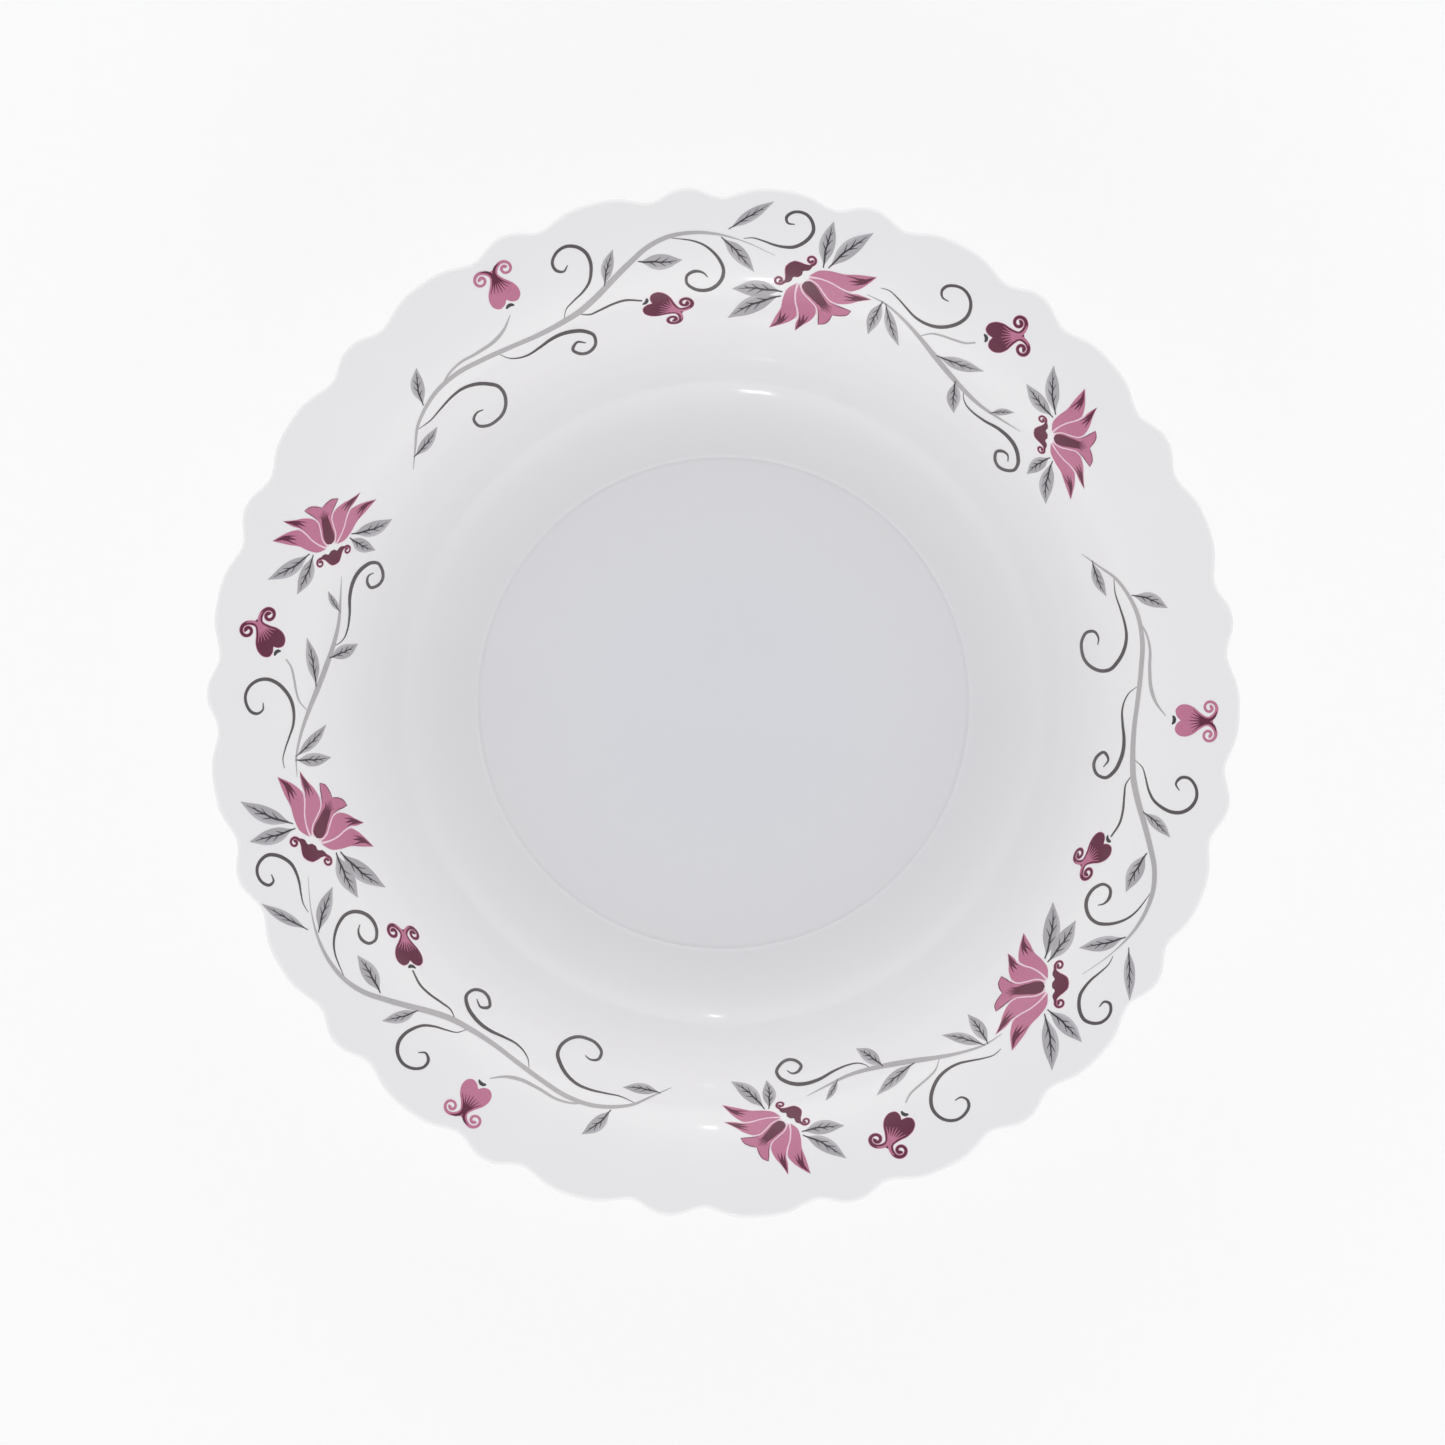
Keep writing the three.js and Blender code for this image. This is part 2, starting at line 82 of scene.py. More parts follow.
class BowlShape(bpy.types.PropertyGroup):
    """Sizes of the fired body."""

    rim_radius: length_prop(
        "Rim radius", "From the axis to the crest of a lobe", (BODY_HIGH[0] - BODY_LOW[0]) / 2 - RIM_EASE
    )
    depth: length_prop("Depth", "From the floor up to the rim, inside", 0.044)
    floor_thickness: length_prop("Floor thickness", "At the middle of the well", 0.004)
    wall_thickness: length_prop("Wall thickness", "Where the wall turns into the lip", 0.0034)
    rim_thickness: length_prop("Rim thickness", "Across the rounded edge", 0.0026)
    corner_radius: length_prop(
        "Corner radius", "From the axis to where the planes of floor and wall would meet", 0.0717
    )
    well_fillet: length_prop("Well fillet", "Radius between floor and wall", 0.028)
    lip_width: length_prop("Lip width", "From the corner of wall and lip out to the rim", 0.0226)
    lip_slope: angle_prop("Lip slope", "Rise of the lip at the rim", 8)
    flare_fillet: length_prop("Flare fillet", "Radius between wall and lip", 0.036)
    lobe_pairs: IntProperty(
        name="Lobe pairs", description="Pairs of one wide and one narrow lobe round the rim", default=17
    )
    wide_share: factor_prop("Wide share", "Share of a pair that is the wide lobe", 0.61)
    wide_roundness: FloatProperty(
        name="Wide lobe fullness", description="Exponent of the wide lobe's outline", default=1.65
    )
    narrow_roundness: FloatProperty(
        name="Narrow lobe fullness", description="Exponent of the narrow lobe's outline", default=1.17
    )
    notch_depth: length_prop("Notch depth", "From a crest in to a notch", 0.0024)
    scallop_width: length_prop("Scallop width", "How far in from the rim the lobes reach", 0.017)
    dish_depth: length_prop("Dish depth", "How far each lobe is hollowed at the rim", 0.0005)
    foot_radius: length_prop("Foot radius", "To the middle of the standing face", 0.0485)
    foot_height: length_prop("Foot height", "From the table to the underside of the floor", 0.0026)
    ring_radius: length_prop("Ring radius", "To the fine ring pressed round the well", 0.0555)
    ring_depth: length_prop("Ring depth", "Depth of the fine ring", 0.00016)


class EnamelLook(bpy.types.PropertyGroup):
    """Thickness and colours of the fired border."""

    lift: length_prop("Lift", "How far the first coat stands above the glaze", 0.00003)
    coat: length_prop("Coat", "How much higher each further coat stands", 0.000015)
    roughness: factor_prop("Roughness", "Of the fired enamel", 0.22)
    leaf_grey: colour_prop("Leaf grey", "Blades of the leaves", (0.430, 0.414, 0.436))
    edge_grey: colour_prop("Edge grey", "Light edge of the leaves", (0.520, 0.508, 0.532))
    stem_grey: colour_prop("Stem grey", "Stems of the vines", (0.470, 0.450, 0.462))
    smoke: colour_prop("Smoke", "Tendrils and thin stalks", (0.102, 0.088, 0.092))
    charcoal: colour_prop("Charcoal", "Veins and calyxes", (0.042, 0.038, 0.044))
    pink: colour_prop("Pink", "Petals", (0.540, 0.182, 0.300))
    pale_pink: colour_prop("Pale pink", "Lines between the petals", (0.860, 0.640, 0.730))
    plum: colour_prop("Plum", "Throats, flames and dark buds", (0.122, 0.013, 0.044))


class GlazeLook(bpy.types.PropertyGroup):
    """The white glaze and the bare foot."""

    white: colour_prop("Glaze white", "Main colour of the glaze", (0.890, 0.881, 0.888))
    # Painted shade: this colour darkens the well and turns it bluer towards the axis, out to the radius
    # below, standing in for the lower light and the bluish overhead light there.
    well_shade: colour_prop("Pooled glaze", "Colour where the glaze lies thicker", (0.830, 0.837, 0.870))
    well_shade_radius: length_prop("Pool radius", "From the axis to where the glaze is no longer thick", 0.080)
    roughness: factor_prop("Glaze roughness", "Of the glossy glaze", 0.07)
    biscuit: colour_prop("Biscuit", "Bare fired body under the foot", (0.62, 0.60, 0.56))


class StudioLook(bpy.types.PropertyGroup):
    """Camera, pale floor and lights."""

    camera_height: length_prop("Camera height", "Above the rim", 2.5)
    view_width: length_prop("View width", "Width of the view at the rim", 0.3208)
    view_x: length_prop("View X", "Middle of the view, along its own width", -0.0002)
    view_y: length_prop("View Y", "Middle of the view, along its own height", -0.0044)
    camera_roll: angle_prop("Camera roll", "About the view direction", 1.05)
    floor_glow: FloatProperty(
        name="Floor glow", description="How far the pale floor lights itself", default=0.52
    )
    dome_strength: FloatProperty(
        name="Dome strength", description="Of the light from either side", default=0.90
    )
    lamp_radiance: FloatProperty(
        name="Lamp brightness", description="Of the face of a lamp, where the dome is about 1", default=30.0
    )


# ------------------------------------------------------------------ the bowl's surface


def smoothstep(value, start, end):
    at = min(1.0, max(0.0, (value - start) / (end - start)))
    return at * at * (3 - 2 * at)


def lerp(a, b, share):
    return a + (b - a) * share


class Surface:
    """The inner surface of the bowl: a floor, a fillet, a straight wall, a flare and a lip, with scallops."""

    def __init__(self, shape):
        self.shape = shape
        self.floor = shape.foot_height + shape.floor_thickness
        self.rim_z = self.floor + shape.depth
        shoulder = shape.rim_radius - shape.lip_width
        rise = shape.depth - shape.lip_width * math.tan(shape.lip_slope)
        run = shoulder - shape.corner_radius
        self.wall_slope = math.atan2(rise, run)
        well_tangent = shape.well_fillet * math.tan(self.wall_slope / 2)
        flare_tangent = shape.flare_fillet * math.tan((self.wall_slope - shape.lip_slope) / 2)
        share = min(
            1.0,
            math.hypot(rise, run) / (well_tangent + flare_tangent),
            shape.corner_radius / well_tangent,
            shape.lip_width / math.cos(shape.lip_slope) / flare_tangent,
        )
        self.well_radius = shape.well_fillet * share
        self.well_r = shape.corner_radius - well_tangent * share
        self.well_end = self.well_r + self.well_radius * math.sin(self.wall_slope)
        self.flare_radius = shape.flare_fillet * share
        self.flare_end = shoulder + flare_tangent * share * math.cos(shape.lip_slope)
        self.flare_r = self.flare_end + self.flare_radius * math.sin(shape.lip_slope)
        self.flare_z = (
            self.rim_z
            - (shape.rim_radius - self.flare_end) * math.tan(shape.lip_slope)
            - self.flare_radius * math.cos(shape.lip_slope)
        )
        self.flare_start = self.flare_r - self.flare_radius * math.sin(self.wall_slope)

    def slope(self, r):
        """The angle at which the round surface rises at a radius."""
        if r <= self.well_r:
            return 0.0
        if r < self.well_end:
            return math.asin((r - self.well_r) / self.well_radius)
        if r < self.flare_start:
            return self.wall_slope
        if r < self.flare_end:
            return math.asin((self.flare_r - r) / self.flare_radius)
        return self.shape.lip_slope

    def height(self, r):
        """Height of the round surface at a radius, before scalloping."""
        if r <= self.well_r:
            return self.floor
        if r < self.well_end:
            return self.floor + self.well_radius - math.sqrt(self.well_radius**2 - (r - self.well_r) ** 2)
        if r < self.flare_start:
            return self.floor + (r - self.shape.corner_radius) * math.tan(self.wall_slope)
        if r < self.flare_end:
            return self.flare_z + math.sqrt(self.flare_radius**2 - (self.flare_r - r) ** 2)
        return self.rim_z - (self.shape.rim_radius - r) * math.tan(self.shape.lip_slope)

    def notch(self, angle):
        """0 at the crest of a lobe and 1 in a notch. A wide lobe is centred on +X."""
        turn = angle / TURN * self.shape.lobe_pairs
        at = abs(turn - math.floor(turn + 0.5))
        half = self.shape.wide_share / 2
        if at <= half:
            across = (at / half) ** self.shape.wide_roundness
        else:
            across = ((0.5 - at) / (0.5 - half)) ** self.shape.narrow_roundness
        return math.sin(math.pi / 2 * across) ** 2

    def share(self, r):
        """How far the scallops have grown at a radius."""
        return smoothstep(r, self.shape.rim_radius - self.shape.scallop_width, self.shape.rim_radius)

    def scalloped(self, r, notch, z):
        """Where the scallops put a point of the round bowl, as radius and height."""
        share = self.share(r)
        return r - self.shape.notch_depth * notch * share, z - self.shape.dish_depth * (1 - notch) * share

    def over(self, x, y):
        """The surface's height over a point, and the round surface's slope there."""
        seen = math.hypot(x, y)
        notch = self.notch(math.atan2(y, x))
        r = seen
        for _ in range(4):
            r = seen + self.shape.notch_depth * notch * self.share(r)
        return self.scalloped(r, notch, self.height(r))[1], self.slope(r)


def add_piece(name, verts, faces, material, slot, crease=math.radians(35)):
    """Makes a mesh piece that rides on the bowl, with one material. The slot is not used."""
    mesh = bpy.data.meshes.new(name)
    mesh.from_pydata(verts, [], faces)
    mesh.validate()
    mesh.shade_smooth()
    mesh.set_sharp_from_angle(angle=crease)
    mesh.materials.append(material)
    piece = bpy.data.objects.new(name, mesh)
    bpy.context.scene.collection.objects.link(piece)
    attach(piece, BODY)
    return piece


# ------------------------------------------------------------------ materials


class Value:
    """A number that varies over a surface. Arithmetic on it adds Math nodes."""

    def __init__(self, shader, socket):
        self.shader = shader
        self.socket = socket

    def _with(self, operation, first, second):
        node = self.shader.node("ShaderNodeMath", {"operation": operation}, {0: first, 1: second})
        return Value(self.shader, node.outputs[0])

    def __add__(self, other):
        return self._with("ADD", self, other)

    __radd__ = __add__

    def __mul__(self, other):
        return self._with("MULTIPLY", self, other)

    __rmul__ = __mul__

    def __sub__(self, other):
        return self._with("SUBTRACT", self, other)

    def __rsub__(self, other):
        return self._with("SUBTRACT", other, self)


class Nodes:
    """A node tree that is being filled."""

    def __init__(self, tree):
        self.tree = tree

    def node(self, kind, settings, inputs):
        """Adds a node: its settings first, then the values or links of its sockets."""
        node = self.tree.nodes.new(kind)
        for key, value in settings.items():
            if key == "stops":
                ramp = node.color_ramp
                while len(ramp.elements) < len(value):
                    ramp.elements.new(0.5)
                for element, (position, colour) in zip(ramp.elements, value):
                    element.position = position
                    element.color = colour
            else:
                setattr(node, key, value)
        for key, value in inputs.items():
            if isinstance(value, Value):
                value = value.socket
            if isinstance(value, bpy.types.NodeSocket):
                self.tree.links.new(value, node.inputs[key])
            else:
                node.inputs[key].default_value = value
        return node

    def link(self, value, socket):
        self.tree.links.new(value.socket if isinstance(value, Value) else value, socket)


class Shader(Nodes):
    """A material around one Principled surface."""

    def __init__(self, name, constants):
        self.material = bpy.data.materials.new(name)
        self.material.use_nodes = True
        super().__init__(self.material.node_tree)
        self.surface = self.tree.nodes["Principled BSDF"]
        for socket, value in constants.items():
            self.surface.inputs[socket].default_value = value

    def position(self):
        """Places in the bowl's own space."""
        return self.node("ShaderNodeTexCoord", {}, {}).outputs["Object"]

    def noise(self, scale, detail=2.0, rough=0.5):
        """Noise from 0 to 1, with a scale in cells per metre."""
        inputs = {"Vector": self.position(), "Scale": scale, "Detail": detail, "Roughness": rough}
        return Value(self, self.node("ShaderNodeTexNoise", {}, inputs).outputs["Fac"])

    def near_axis(self, radius):
        """1 on the bowl's axis and 0 from a radius outwards, falling smoothly."""
        across = {0: self.position(), 1: (1, 1, 0)}
        flat = self.node("ShaderNodeVectorMath", {"operation": "MULTIPLY"}, across).outputs[0]
        distance = self.node("ShaderNodeVectorMath", {"operation": "LENGTH"}, {0: flat}).outputs["Value"]
        fall = {"Value": distance, "From Max": radius, "To Min": 1.0, "To Max": 0.0}
        settings = {"interpolation_type": "SMOOTHSTEP"}
        return Value(self, self.node("ShaderNodeMapRange", settings, fall).outputs[0])

    def mix(self, share, first, second):
        """A colour between two, by a varying share."""
        node = self.node("ShaderNodeMix", {"data_type": "RGBA"}, {"Factor": share, 6: first, 7: second})
        return node.outputs[2]

    def drive(self, socket, value):
        """Feeds what varies over the surface into a socket of the surface."""
        self.link(value, self.surface.inputs[socket])

    def bump(self, height, strength, distance):
        inputs = {"Height": height, "Strength": strength, "Distance": distance}
        self.drive("Normal", self.node("ShaderNodeBump", {}, inputs).outputs[0])


def rgba(colour):
    return (*colour, 1.0)


def shade(colour, factor):
    return tuple(channel * factor for channel in colour)


def glaze_material(look):
    """Glossy white glaze: painted shade makes the well darker and cooler towards the middle, with the soft
    ripple of a fired body.
    """
    shader = Shader("white_glaze", {"IOR": 1.47})
    uneven = shader.noise(scale=28.0, detail=3.0)
    # Painted shade: share of the darker, bluer well colour, greatest on the axis, with a little random
    # unevenness.
    well_shade_share = shader.near_axis(look.well_shade_radius) + 0.12 * (uneven - 0.5)
    shader.drive("Base Color", shader.mix(well_shade_share, rgba(look.white), rgba(look.well_shade)))
    shader.drive("Roughness", look.roughness + 0.05 * shader.noise(scale=900.0))
    ripple = shader.noise(scale=70.0, detail=1.0)
    peel = shader.noise(scale=420.0, detail=2.0)
    shader.bump(ripple + 0.08 * peel, strength=0.35, distance=0.0004)
    return shader.material


def biscuit_material(look):
    """Bare fired body: matt, slightly warm, with fine dark specks."""
    shader = Shader("bare_biscuit", {"IOR": 1.45})
    speck = shader.noise(scale=2600.0, detail=3.0, rough=0.7)
    shader.drive("Base Color", shader.mix(speck, rgba(shade(look.biscuit, 0.88)), rgba(look.biscuit)))
    shader.drive("Roughness", 0.55 + 0.25 * shader.noise(scale=1500.0))
    shader.bump(speck, strength=0.3, distance=0.0001)
    return shader.material


def enamel_material(name, colour, look):
    """Fired enamel: a screened colour with a fine mottle, glossy but a little less so than the glaze."""
    shader = Shader(name, {"IOR": 1.52})
    mottle = shader.noise(scale=1400.0, detail=3.0, rough=0.6)
    wash = shader.noise(scale=120.0)
    share = 0.6 * mottle + 0.4 * wash
    dark = rgba(shade(colour, 0.86))
    light = rgba(shade(colour, 1.14))
    shader.drive("Base Color", shader.mix(share, dark, light))
    shader.drive("Roughness", look.roughness - 0.06 + 0.14 * mottle)
    shader.bump(mottle, strength=0.15, distance=0.00003)
    return shader.material


SLOTS = {
    "leaf_grey": "enamel_grey",
    "edge_grey": "enamel_grey",
    "stem_grey": "enamel_grey",
    "smoke": "enamel_charcoal",
    "charcoal": "enamel_charcoal",
    "pink": "enamel_pink",
    "pale_pink": "enamel_pink",
    "plum": "enamel_plum",
}


def enamel(colour):
    """The material of one enamel colour, made the first time that it is asked for."""
    name = f"fired_{colour}"
    look = bpy.context.scene.enamel_look
    return bpy.data.materials.get(name) or enamel_material(name, getattr(look, colour), look)


# ------------------------------------------------------------------ the body


ANGULAR_STEPS = 28  # round one pair of lobes
RING_STEP = 0.0011  # between rings on the curved stretches
FLOOR_RINGS = 12  # out to the edge of the flat floor
EDGE_STEPS = 12  # round the edge of the rim
FOOT_FACE = 0.003  # width of the standing face
FOOT_FLARE = 0.0011  # how much wider the foot ring is on each side where it meets the floor
FOOT_EASE = 0.0005  # bevel on both edges of the standing face
FOOT_STEPS = 4  # up each side of the foot ring
UNDER_RINGS = 6  # out to the foot ring, under the floor
BODY_CREASE = math.radians(50)  # keeps the bevels of the foot ring crisp and the rest smooth
STANDING = 0.2 * MM  # a face wholly below this height is part of the bare standing face
RING_HALF_WIDTH = 0.0004  # of the fine pressed ring


def arc_steps(radius, angle):
    return max(3, math.ceil(abs(radius * angle) / RING_STEP))


def inner_radii(surface):
    """Radii of the rings from the axis to the edge, close together where the surface curves."""
    shape = surface.shape
    edge = shape.rim_thickness / 2
    radii = [surface.well_r * i / FLOOR_RINGS for i in range(FLOOR_RINGS + 1)]
    count = arc_steps(surface.well_radius, surface.wall_slope)
    turns = [surface.wall_slope * i / count for i in range(1, count + 1)]
    radii += [surface.well_r + surface.well_radius * math.sin(turn) for turn in turns]
    radii = [r for r in radii if abs(r - shape.ring_radius) > 1.5 * RING_HALF_WIDTH]
    radii += [shape.ring_radius + RING_HALF_WIDTH * at for at in (-1, -0.5, 0, 0.5, 1)]
    radii.sort()
    straight = (surface.flare_start - surface.well_end) / math.cos(surface.wall_slope)
    count = max(2, math.ceil(straight / (2 * RING_STEP)))
    radii += [lerp(surface.well_end, surface.flare_start, i / count) for i in range(1, count)]
    end = shape.rim_radius - edge * (1 + math.sin(shape.lip_slope))
    length = surface.flare_radius * (surface.wall_slope - shape.lip_slope) + end - surface.flare_end
    count = math.ceil(length / RING_STEP)
    radii += [lerp(surface.flare_start, end, i / count) for i in range(count + 1)]
    return radii


def body_profile(surface):
    """The body's section: under the floor from the axis out, over the edge, and back over the floor."""
    shape = surface.shape
    edge = shape.rim_thickness / 2

    def thickness(r):
        if r < surface.well_r:
            return shape.floor_thickness
        if r < surface.flare_start:
            share = (r - surface.well_r) / (surface.flare_start - surface.well_r)
            return lerp(shape.floor_thickness, shape.wall_thickness, share)
        share = (r - surface.flare_start) / (shape.rim_radius - surface.flare_start)
        return lerp(shape.wall_thickness, shape.rim_thickness, share)

    def groove(r):
        at = abs(r - shape.ring_radius) / RING_HALF_WIDTH
        return shape.ring_depth * math.cos(math.pi / 2 * at) ** 2 if at < 1 else 0.0

    radii = inner_radii(surface)
    inside = [(r, surface.height(r) - groove(r)) for r in radii]
    outer_foot = shape.foot_radius + FOOT_FACE / 2 + FOOT_FLARE
    outside = []
    for r in radii[1:]:
        slope = surface.slope(r)
        x = r + thickness(r) * math.sin(slope)
        if x > outer_foot + RING_STEP:
            outside.append((x, surface.height(r) - thickness(r) * math.cos(slope)))
    r, z = inside[-1]
    centre = (r + edge * math.sin(shape.lip_slope), z - edge * math.cos(shape.lip_slope))
    turns = [shape.lip_slope - math.pi / 2 + math.pi * i / EDGE_STEPS for i in range(1, EDGE_STEPS)]
    rounded = [(centre[0] + edge * math.cos(turn), centre[1] + edge * math.sin(turn)) for turn in turns]
    return [(0.0, shape.foot_height), *foot_profile(shape), *outside, *rounded, *reversed(inside)]


def foot_profile(shape):
    """From inside the foot ring, down round its standing face and out to the underside of the floor."""
    half = FOOT_FACE / 2
    under = shape.foot_height
    side = []
    for i in range(FOOT_STEPS + 1):
        share = i / FOOT_STEPS
        reach = half + FOOT_FLARE - (FOOT_FLARE - FOOT_EASE) * math.sin(math.pi / 2 * share) ** 0.5
        side.append((reach, under - (under - FOOT_EASE) * share))
    side.append((half, 0.0))
    middle = [(shape.foot_radius * i / UNDER_RINGS, under) for i in range(1, UNDER_RINGS)]
    inner = [(shape.foot_radius - reach, z) for reach, z in side]
    outer = [(shape.foot_radius + reach, z) for reach, z in reversed(side)]
    return middle + inner + outer


def build_body(shape, glaze):
    surface = Surface(shape)
    profile = body_profile(surface)
    around = shape.lobe_pairs * ANGULAR_STEPS
    angles = [TURN * i / around for i in range(around)]
    notches = [surface.notch(angle) for angle in angles]
    verts = [(0.0, 0.0, profile[0][1])]
    for r, z in profile[1:-1]:
        for angle, notch in zip(angles, notches):
            at, height = surface.scalloped(r, notch, z)
            verts.append((at * math.cos(angle), at * math.sin(angle), height))
    verts.append((0.0, 0.0, profile[-1][1]))
    rings = len(profile) - 2
    faces = [(0, 1 + (i + 1) % around, 1 + i) for i in range(around)]
    for ring in range(rings - 1):
        here = 1 + ring * around
        above = here + around
        for i in range(around):
            after = (i + 1) % around
            faces.append((here + i, here + after, above + after, above + i))
    last = 1 + (rings - 1) * around
    top = len(verts) - 1
    faces += [(last + i, last + (i + 1) % around, top) for i in range(around)]
    body = add_piece("bowl", verts, faces, glaze_material(glaze), "bowl_glaze", crease=BODY_CREASE)
    body.data.materials.append(biscuit_material(glaze))
    for polygon in body.data.polygons:
        if all(body.data.vertices[v].co.z < STANDING for v in polygon.vertices):
            polygon.material_index = 1
    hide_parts("bowl_body")


class BOWL_OT_body(bpy.types.Operator):
    """Build the fired body with its scalloped rim and foot ring"""

    bl_idname = "bowl.body"
    bl_label = "Bowl Body"

    def execute(self, context):
        build_body(context.scene.bowl_shape, context.scene.glaze_look)
        return {"FINISHED"}


# ------------------------------------------------------------------ drawing with enamel


SPACING = 0.3  # mm, between points along a drawn line
GRID = 0.9  # mm, between the inner points of a filled shape
FINEST = 0.03  # mm, half the width of the finest line end
GRID_CLEARANCE = 0.45 * GRID  # between an inner point and the outline
STEPS_PER_SPAN = 12
SUNK = 0.02 * MM  # how far a film's underside lies below the glaze
STAGGER = 0.002 * MM  # between one film and the next of a coat, so that films which cross don't coincide
STAGGERED = 4  # films before the heights repeat


def spline(points, spacing=SPACING):
    """Evenly spaced points along a smooth curve through the given ones."""
    spans = [math.dist(a, b) for a, b in zip(points, points[1:])]
    runs = [Vector(b) - Vector(a) for a, b in zip(points, points[1:])]
    rates = [run / span for run, span in zip(runs, spans)]
    tangents = [rates[0]]
    for i in range(1, len(rates)):
        tangents.append((rates[i - 1] * spans[i] + rates[i] * spans[i - 1]) / (spans[i - 1] + spans[i]))
    tangents.append(rates[-1])
    dense = []
    for i, span in enumerate(spans):
        for step in range(STEPS_PER_SPAN):
            t = step / STEPS_PER_SPAN
            leave = tangents[i] * span * t * (1 - t) ** 2
            arrive = tangents[i + 1] * span * t**2 * (1 - t)
            dense.append(Vector(points[i]) + runs[i] * t * t * (3 - 2 * t) + leave - arrive)
    dense.append(Vector(points[-1]))
    lengths = [(b - a).length for a, b in zip(dense, dense[1:])]
    total = sum(lengths)
    count = max(4, round(total / spacing))
    even = [tuple(dense[0])]
    travelled = 0.0
    i = 0
    for k in range(1, count):
        target = total * k / count
        while travelled + lengths[i] < target:
            travelled += lengths[i]
            i += 1
        even.append(tuple(dense[i].lerp(dense[i + 1], (target - travelled) / lengths[i])))
    even.append(tuple(dense[-1]))
    return even


def outline(*stretches):
    """A closed outline from smooth stretches that meet in corners."""
    loop = []
    for stretch in stretches:
        loop += spline(stretch)[:-1]
    return loop


def mirrored(points):
    return [(u, -v) for u, v in points]


def inside(point, loop):
    x, y = point
    crossings = 0
    for (x0, y0), (x1, y1) in zip(loop, loop[1:] + loop[:1]):
        if (y0 > y) != (y1 > y) and x < x0 + (y - y0) / (y1 - y0) * (x1 - x0):
            crossings += 1
    return crossings % 2 == 1


def spread(widths, share):
    """A value at a share of the way along a list that is spread evenly."""
    at = share * (len(widths) - 1)
    i = min(int(at), len(widths) - 2)
    return lerp(widths[i], widths[i + 1], at - i)


class Coat:
    """One coat of one colour, gathered from thin closed films that follow the glaze.

    Shapes are given in millimetres in a frame of their own, and place() puts a point on the bowl."""

    def __init__(self, surface, colour, layer):
        look = bpy.context.scene.enamel_look
        self.surface = surface
        self.colour = colour
        self.lift = look.lift + layer * look.coat
        self.verts = []
        self.faces = []
        self.films = 0

    def _film(self, plan, faces, rim):
        """Closes a flat mesh into a film. rim is the loop of its points, anticlockwise from above."""
        lift = self.lift + (self.films % STAGGERED) * STAGGER
        self.films += 1
        base = len(self.verts)
        below = base + len(plan)
        floor = []
        for x, y in plan:
            z, slope = self.surface.over(x, y)
            upright = 1 / math.cos(slope)
            self.verts.append((x, y, z + lift * upright))
            floor.append((x, y, z - SUNK * upright))
        self.verts += floor
        self.faces += [tuple(base + i for i in face) for face in faces]
        self.faces += [tuple(below + i for i in reversed(face)) for face in faces]
        for a, b in zip(rim, rim[1:] + rim[:1]):
            self.faces.append((base + b, base + a, below + a, below + b))

    def line(self, place, points, half_widths, across=2):
        """A stroke of varying width along a smooth route."""
        path = spline(points)
        count = len(path) - 1
        flat = []
        for i, (u, v) in enumerate(path):
            ahead = path[min(i + 1, count)]
            behind = path[max(i - 1, 0)]
            run = Vector((ahead[0] - behind[0], ahead[1] - behind[1])).normalized()
            width = max(FINEST, spread(half_widths, i / count))
            for j in range(across + 1):
                side = width * (2 * j / across - 1)
                flat.append(place((u - run.y * side, v + run.x * side)))
        row = across + 1
        faces = []
        for i in range(count):
            for j in range(across):
                at = i * row + j
                faces.append((at, at + row, at + row + 1, at + 1))
        rim = [i * row for i in range(count + 1)]
        rim += [count * row + j for j in range(1, row)]
        rim += [i * row + across for i in range(count - 1, -1, -1)]
        rim += list(range(across - 1, 0, -1))
        self._oriented(flat, faces, rim)

    def fill(self, place, loop):
        """A filled outline."""
        us = [u for u, _ in loop]
        vs = [v for _, v in loop]
        grid = []
        for i in range(int((max(us) - min(us)) / GRID) + 1):
            for j in range(int((max(vs) - min(vs)) / GRID) + 1):
                point = (min(us) + (i + 0.5) * GRID, min(vs) + (j + 0.5) * GRID)
                if inside(point, loop) and min(math.dist(point, at) for at in loop) > GRID_CLEARANCE:
                    grid.append(point)
        count = len(loop)
        edges = [(i, (i + 1) % count) for i in range(count)]
        made = delaunay_2d_cdt([Vector(p) for p in loop + grid], edges, [], 1, 1e-6)
        flat = [tuple(v) for v in made[0]]
        if len(flat) != count + len(grid):
            raise RuntimeError(f"a {self.colour} outline crosses itself")
        faces = [tuple(face) for face in made[2]]
        self._oriented([place(p) for p in flat], faces, list(range(count)))

    def _oriented(self, flat, faces, rim):
        """Turns the faces up, whichever way round the shape was drawn."""

        def area(loop):
            pairs = zip(loop, loop[1:] + loop[:1])
            return sum(flat[a][0] * flat[b][1] - flat[b][0] * flat[a][1] for a, b in pairs)

        up = [face if area(face) > 0 else face[::-1] for face in faces]
        self._film(flat, up, rim if area(rim) > 0 else rim[::-1])

    def piece(self, name, *stands_for):
        made = add_piece(name, self.verts, self.faces, enamel(self.colour), SLOTS[self.colour])
        if stands_for:
            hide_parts(*stands_for)


# ------------------------------------------------------------------ where the border lies


DRAWN_RIM = 115.0  # mm, the rim radius that the border was drawn for
TAILS = (144.05, 23.55, 263.35)  # degrees, where each spray's tail lies


